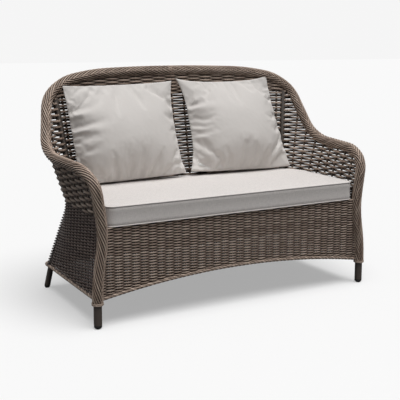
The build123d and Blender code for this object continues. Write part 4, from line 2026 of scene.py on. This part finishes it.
@dataclass
class BackPillow:
    """A knife-edged back pillow: two panels cut fuller than their seam, held there and filled."""

    side: Side
    corners: tuple[tuple[float, float, float], ...]
    sags: tuple[float, float, float, float]
    gathers: tuple[Gather, ...]
    front_crown: float = 0.088
    rear_crown: float = 0.036
    slump: float = 0.32
    columns: int = 58
    rows: int = 50
    fullness: float = 0.075
    pressure: float = 5.0
    frames: int = 30
    stiffness: float = 22.0
    bending: float = 0.3
    filling_share: tuple[float, float, float, float] = (0.9, 0.62, 0.9, 1)
    least_gap: float = 0.0012
    most_gap: float = 0.014
    fold_width: float = 0.007
    fold_fan: float = 0.08
    ridge_height: float = 0.45
    ridge_away: float = 2.1
    ridge_width: float = 1.3
    half_width: float = 0.235
    half_height: float = 0.2
    pose: Matrix = field(init=False)
    ends: list[Vector] = field(init=False)
    depths: list[float] = field(init=False)

    def build(self) -> None:
        """Sew, fill and place the pillow."""
        word = self.side.word
        self.stand()
        piece = self.panels()
        relaxed(piece, self.pressure, self.frames, self.stiffness, self.bending, self.fullness)
        self.shape(piece)
        filling = new_object(f"pillow_{word}_filling", piece.data.copy())
        filling.data.transform(self.pose @ Matrix.Diagonal(self.filling_share))
        piece.data.transform(self.pose)
        subdivided(piece)
        body = Body.LEFT_PILLOW if self.side is Side.LEFT else Body.RIGHT_PILLOW
        for form, finish, node, fill in (
            (piece, PILLOW_CLOTH, f"pillow_cover_{word}", 0.7),
            (filling, FIBRE, f"pillow_insert_{word}", 0.8),
        ):
            form.data.shade_smooth()
            form.data.materials.append(finish.material())
            finish_piece(form, body, finish, node)

    def stand(self) -> None:
        """Find the pillow's own plane from its corners: bottom left, bottom right, top right and top left."""
        ends = [Vector(corner) for corner in self.corners]
        middle = sum(ends, Vector()) / 4
        across = ((ends[1] - ends[0]) + (ends[2] - ends[3])).normalized()
        up = ((ends[3] - ends[0]) + (ends[2] - ends[1])).normalized()
        back = up.cross(across).normalized()
        up = across.cross(back)
        self.pose = Matrix.Translation(middle) @ Matrix((across, back, up)).transposed().to_4x4()
        inverse = self.pose.inverted()
        self.ends = [inverse @ corner for corner in ends]

    def seam(self, edge: int, share: float) -> Vector:
        """A point of the seam.

        Args:
            edge: 0 bottom, 1 right, 2 top, 3 left.
            share: How far along, from left to right or from bottom to top.

        Returns:
            The point in the pillow's own plane.
        """
        first, last = ((0, 1), (1, 2), (3, 2), (0, 3))[edge]
        inwards = ((0, 0, 1), (-1, 0, 0), (0, 0, -1), (1, 0, 0))[edge]
        drawn = 1 - abs(2 * share - 1) ** 3
        return self.ends[first].lerp(self.ends[last], share) + Vector(inwards) * (self.sags[edge] * drawn)

    def spread(self, s: float, t: float) -> Vector:
        """A point of the flat panel between the four seams.

        Args:
            s: The share across.
            t: The share up.

        Returns:
            The point in the pillow's own plane.
        """
        ends = self.ends
        flat = ends[0].lerp(ends[1], s).lerp(ends[3].lerp(ends[2], s), t)
        across = self.seam(3, t).lerp(self.seam(1, t), s)
        upwards = self.seam(0, s).lerp(self.seam(2, s), t)
        return across + upwards - flat

    def panels(self) -> bpy.types.Object:
        """Two flat panels that share their edge, which is held.

        Returns:
            The pillow in its own plane, its front towards -y.
        """
        chance = random.Random(91 + self.side.value)
        maker = bmesh.new()
        panels = []
        edge_corners = []
        self.depths = []
        for face in (-1, 1):
            grid = []
            for j in range(self.rows + 1):
                row = []
                for i in range(self.columns + 1):
                    edge = i in (0, self.columns) or j in (0, self.rows)
                    if edge and face > 0:
                        row.append(panels[0][j][i])
                        continue
                    place = self.spread(i / self.columns, j / self.rows)
                    if not edge:
                        swell = math.sin(math.pi * i / self.columns) * math.sin(math.pi * j / self.rows)
                        place.y += face * (0.012 * swell + 0.0015 + chance.uniform(0, 0.0012))
                    row.append(maker.verts.new(place))
                    inwards = min(i, self.columns - i, j, self.rows - j)
                    gap = min(self.least_gap + 0.0022 * (inwards - 1), self.most_gap)
                    self.depths.append(face * gap if inwards else 0.0)
                    if edge:
                        edge_corners.append(row[-1])
                grid.append(row)
            panels.append(grid)
            for j in range(self.rows):
                for i in range(self.columns):
                    corners = (grid[j][i], grid[j][i + 1], grid[j + 1][i + 1], grid[j + 1][i])
                    maker.faces.new(corners if face < 0 else tuple(reversed(corners)))
        maker.verts.index_update()
        held = [vertex.index for vertex in edge_corners]
        mesh = bpy.data.meshes.new(f"pillow_{self.side.word}")
        maker.to_mesh(mesh)
        maker.free()
        piece = new_object(f"pillow_{self.side.word}_padding", mesh)
        piece.vertex_groups.new(name="held").add(held, 1.0, "REPLACE")
        return piece

    def shape(self, piece: bpy.types.Object) -> None:
        """Bring the filled pillow to its crowns, keep its panels apart and press its folds in.

        Args:
            piece: The filled pillow.
        """
        points = [vertex.co for vertex in piece.data.vertices]
        front = -min(point.y for point in points)
        rear = max(point.y for point in points)
        for point, depth in zip(points, self.depths):
            if depth < 0:
                point.y *= self.front_crown / front * (1 - self.slump * point.z / self.half_height)
                point.y = min(point.y + self.fold_depth(point), depth)
            elif depth > 0:
                point.y = max(point.y * self.rear_crown / rear, depth)
        piece.vertex_groups.clear()

    def fold_depth(self, point: Vector) -> float:
        """How deep the folds that run in from the seams are at a point of the front.

        Args:
            point: The point in the pillow's own plane.

        Returns:
            The depth.
        """
        depth = 0.0
        for fold in self.gathers:
            angle = math.radians(fold.angle)
            along = Vector((math.cos(angle), math.sin(angle)))
            away = Vector((point.x - fold.x, point.z - fold.z))
            run = away.dot(along)
            aside = away.x * along.y - away.y * along.x
            if run < -0.02:
                continue
            width = self.fold_width + self.fold_fan * max(run, 0.0)
            fade = math.exp(-((run / fold.reach) ** 2))
            ridge = (aside - self.ridge_away * width) / (self.ridge_width * width)
            depth += fold.depth * fade * math.exp(-((aside / width) ** 2))
            depth -= fold.depth * self.ridge_height * fade * math.exp(-(ridge**2))
        return depth


@dataclass
class Studio:
    """Pale floor, soft light and the camera of the photograph."""

    camera_place: tuple[float, float, float] = (-1.590, -2.8344, 0.991)
    camera_down: float = 10.99
    camera_turn: float = -29.08
    lens: float = 72.1
    ground: Colour = (0.93, 0.93, 0.93, 1)
    bounce: Colour = (0.15, 0.15, 0.15, 1)
    haze: float = 0.42
    reach: float = 40.0
    sun_turn: tuple[float, float, float] = (15.0, 4.0, 0.0)
    sun_spread: float = 50.0
    sun_strength: float = 3.05
    sky: float = 0.11
    backdrop: Colour = (0.915, 0.915, 0.915, 1)

    def build(self) -> None:
        """Set the floor, lamps, world and camera."""
        scene = bpy.context.scene
        scene.view_settings.view_transform = "Standard"
        self.floor()
        self.sun()
        self.world()
        camera = bpy.data.cameras.new("camera")
        camera.lens = self.lens
        camera.sensor_width = 36
        holder = bpy.data.objects.new("camera", camera)
        holder.location = self.camera_place
        holder.rotation_euler = (math.radians(90 - self.camera_down), 0, math.radians(self.camera_turn))
        scene.collection.objects.link(holder)
        scene.camera = holder

    def floor(self) -> None:
        """A wide pale floor: the camera sees the backdrop's colour, and less light bounces from it."""
        mesh = bpy.data.meshes.new("floor")
        corners = [(x * self.reach, y * self.reach, 0) for x, y in ((-1, -1), (1, -1), (1, 1), (-1, 1))]
        mesh.from_pydata(corners, [], [(0, 1, 2, 3)])
        ground = new_object("floor", mesh)
        made = bpy.data.materials.new("pale floor")
        coat = Coat(made)
        seen = coat.signal("ShaderNodeLightPath", out="Is Camera Ray")
        coat.set("Base Color", coat.blend(seen, self.bounce, self.ground))
        coat.set("Roughness", 1.0)
        coat.set("Specular IOR Level", 0.0)
        glow = coat.add("ShaderNodeEmission", {"Color": self.backdrop, "Strength": 1.0})
        shaders = {0: seen * self.haze, 1: coat.shader.outputs[0], 2: glow.outputs[0]}
        mix = coat.add("ShaderNodeMixShader", shaders)
        coat.feed(made.node_tree.nodes["Material Output"].inputs["Surface"], mix.outputs[0])
        mesh.materials.append(made)
        log.info("floor, %.0f m wide", 2 * self.reach)

    def sun(self) -> None:
        """A very soft lamp overhead that lights the whole floor evenly."""
        light = bpy.data.lights.new("overhead", "SUN")
        light.angle = math.radians(self.sun_spread)
        light.energy = self.sun_strength
        holder = bpy.data.objects.new("overhead", light)
        holder.rotation_euler = [math.radians(angle) for angle in self.sun_turn]
        bpy.context.scene.collection.objects.link(holder)

    def world(self) -> None:
        """A pale world: bright to the camera and in reflections, gentle as light."""
        world = bpy.data.worlds.new("studio")
        world.use_nodes = True
        bpy.context.scene.world = world
        graph = Graph(world.node_tree)
        world.node_tree.nodes.clear()
        path = graph.add("ShaderNodeLightPath")
        seen = (
            Signal(graph, path.outputs["Is Camera Ray"])
            + Signal(graph, path.outputs["Is Glossy Ray"])
            + Signal(graph, path.outputs["Is Transmission Ray"])
        ).clamp()
        lit = graph.add("ShaderNodeBackground", {"Color": (1, 1, 1, 1), "Strength": self.sky})
        shown = graph.add("ShaderNodeBackground", {"Color": self.backdrop, "Strength": 1.0})
        mix = graph.add("ShaderNodeMixShader", {0: seen, 1: lit.outputs[0], 2: shown.outputs[0]})
        graph.add("ShaderNodeOutputWorld", {"Surface": mix.outputs[0]})


# The two pillows: corners, sags and gathers

LEFT_PILLOW = BackPillow(
    side=Side.LEFT,
    corners=(
        (-0.5, 0.1, 0.449),
        (-0.009, 0.118, 0.457),
        (-0.019, 0.236, 0.8423),
        (-0.5227, 0.205, 0.8343),
    ),
    sags=(-0.004, 0.023, 0.008, 0.006),
    gathers=(
        Gather(-0.24, 0.085, 12.0, 0.07, 0.012),
        Gather(-0.235, 0.02, 8.0, 0.09, 0.014),
        Gather(-0.23, -0.035, 14.0, 0.06, 0.010),
        Gather(-0.22, -0.085, 20.0, 0.05, 0.007),
        Gather(-0.13, -0.19, 78.0, 0.05, 0.007),
        Gather(-0.03, -0.19, 80.0, 0.06, 0.010),
        Gather(0.03, -0.19, 84.0, 0.07, 0.011),
        Gather(0.10, -0.19, 88.0, 0.05, 0.007),
        Gather(0.235, 0.09, 165.0, 0.035, 0.010),
        Gather(0.225, -0.12, 170.0, 0.03, 0.006),
        Gather(-0.155, 0.185, -50.0, 0.04, 0.006),
    ),
)
RIGHT_PILLOW = BackPillow(
    side=Side.RIGHT,
    corners=(
        (0.0035, 0.118, 0.4605),
        (0.5213, 0.112, 0.4489),
        (0.465, 0.238, 0.8543),
        (0.0045, 0.261, 0.851),
    ),
    sags=(-0.006, 0.014, 0.022, 0.034),
    gathers=(
        Gather(-0.20, 0.075, 10.0, 0.08, 0.013),
        Gather(-0.20, -0.055, 14.0, 0.06, 0.009),
        Gather(-0.22, -0.155, 35.0, 0.06, 0.008),
        Gather(-0.06, 0.18, -80.0, 0.03, 0.007),
        Gather(0.10, -0.19, 92.0, 0.05, 0.006),
        Gather(0.17, -0.19, 98.0, 0.045, 0.006),
        Gather(0.215, 0.10, 190.0, 0.03, 0.007),
        Gather(0.235, -0.04, 188.0, 0.03, 0.005),
    ),
)


def main() -> None:
    """Build the sofa from its frame outwards and report each piece."""
    logging.basicConfig(level=logging.INFO, format="%(name)s: %(message)s")
    Studio().build()
    weaver = Weaver()
    tubes = TubeFrame(weaver)
    tubes.build()
    RimPlait(weaver).build()
    WovenWalls(weaver, tubes.leg_line).build()
    SeatCushion(weaver).build()
    for pillow in (LEFT_PILLOW, RIGHT_PILLOW):
        pillow.build()


if __name__ == "__main__":
    main()
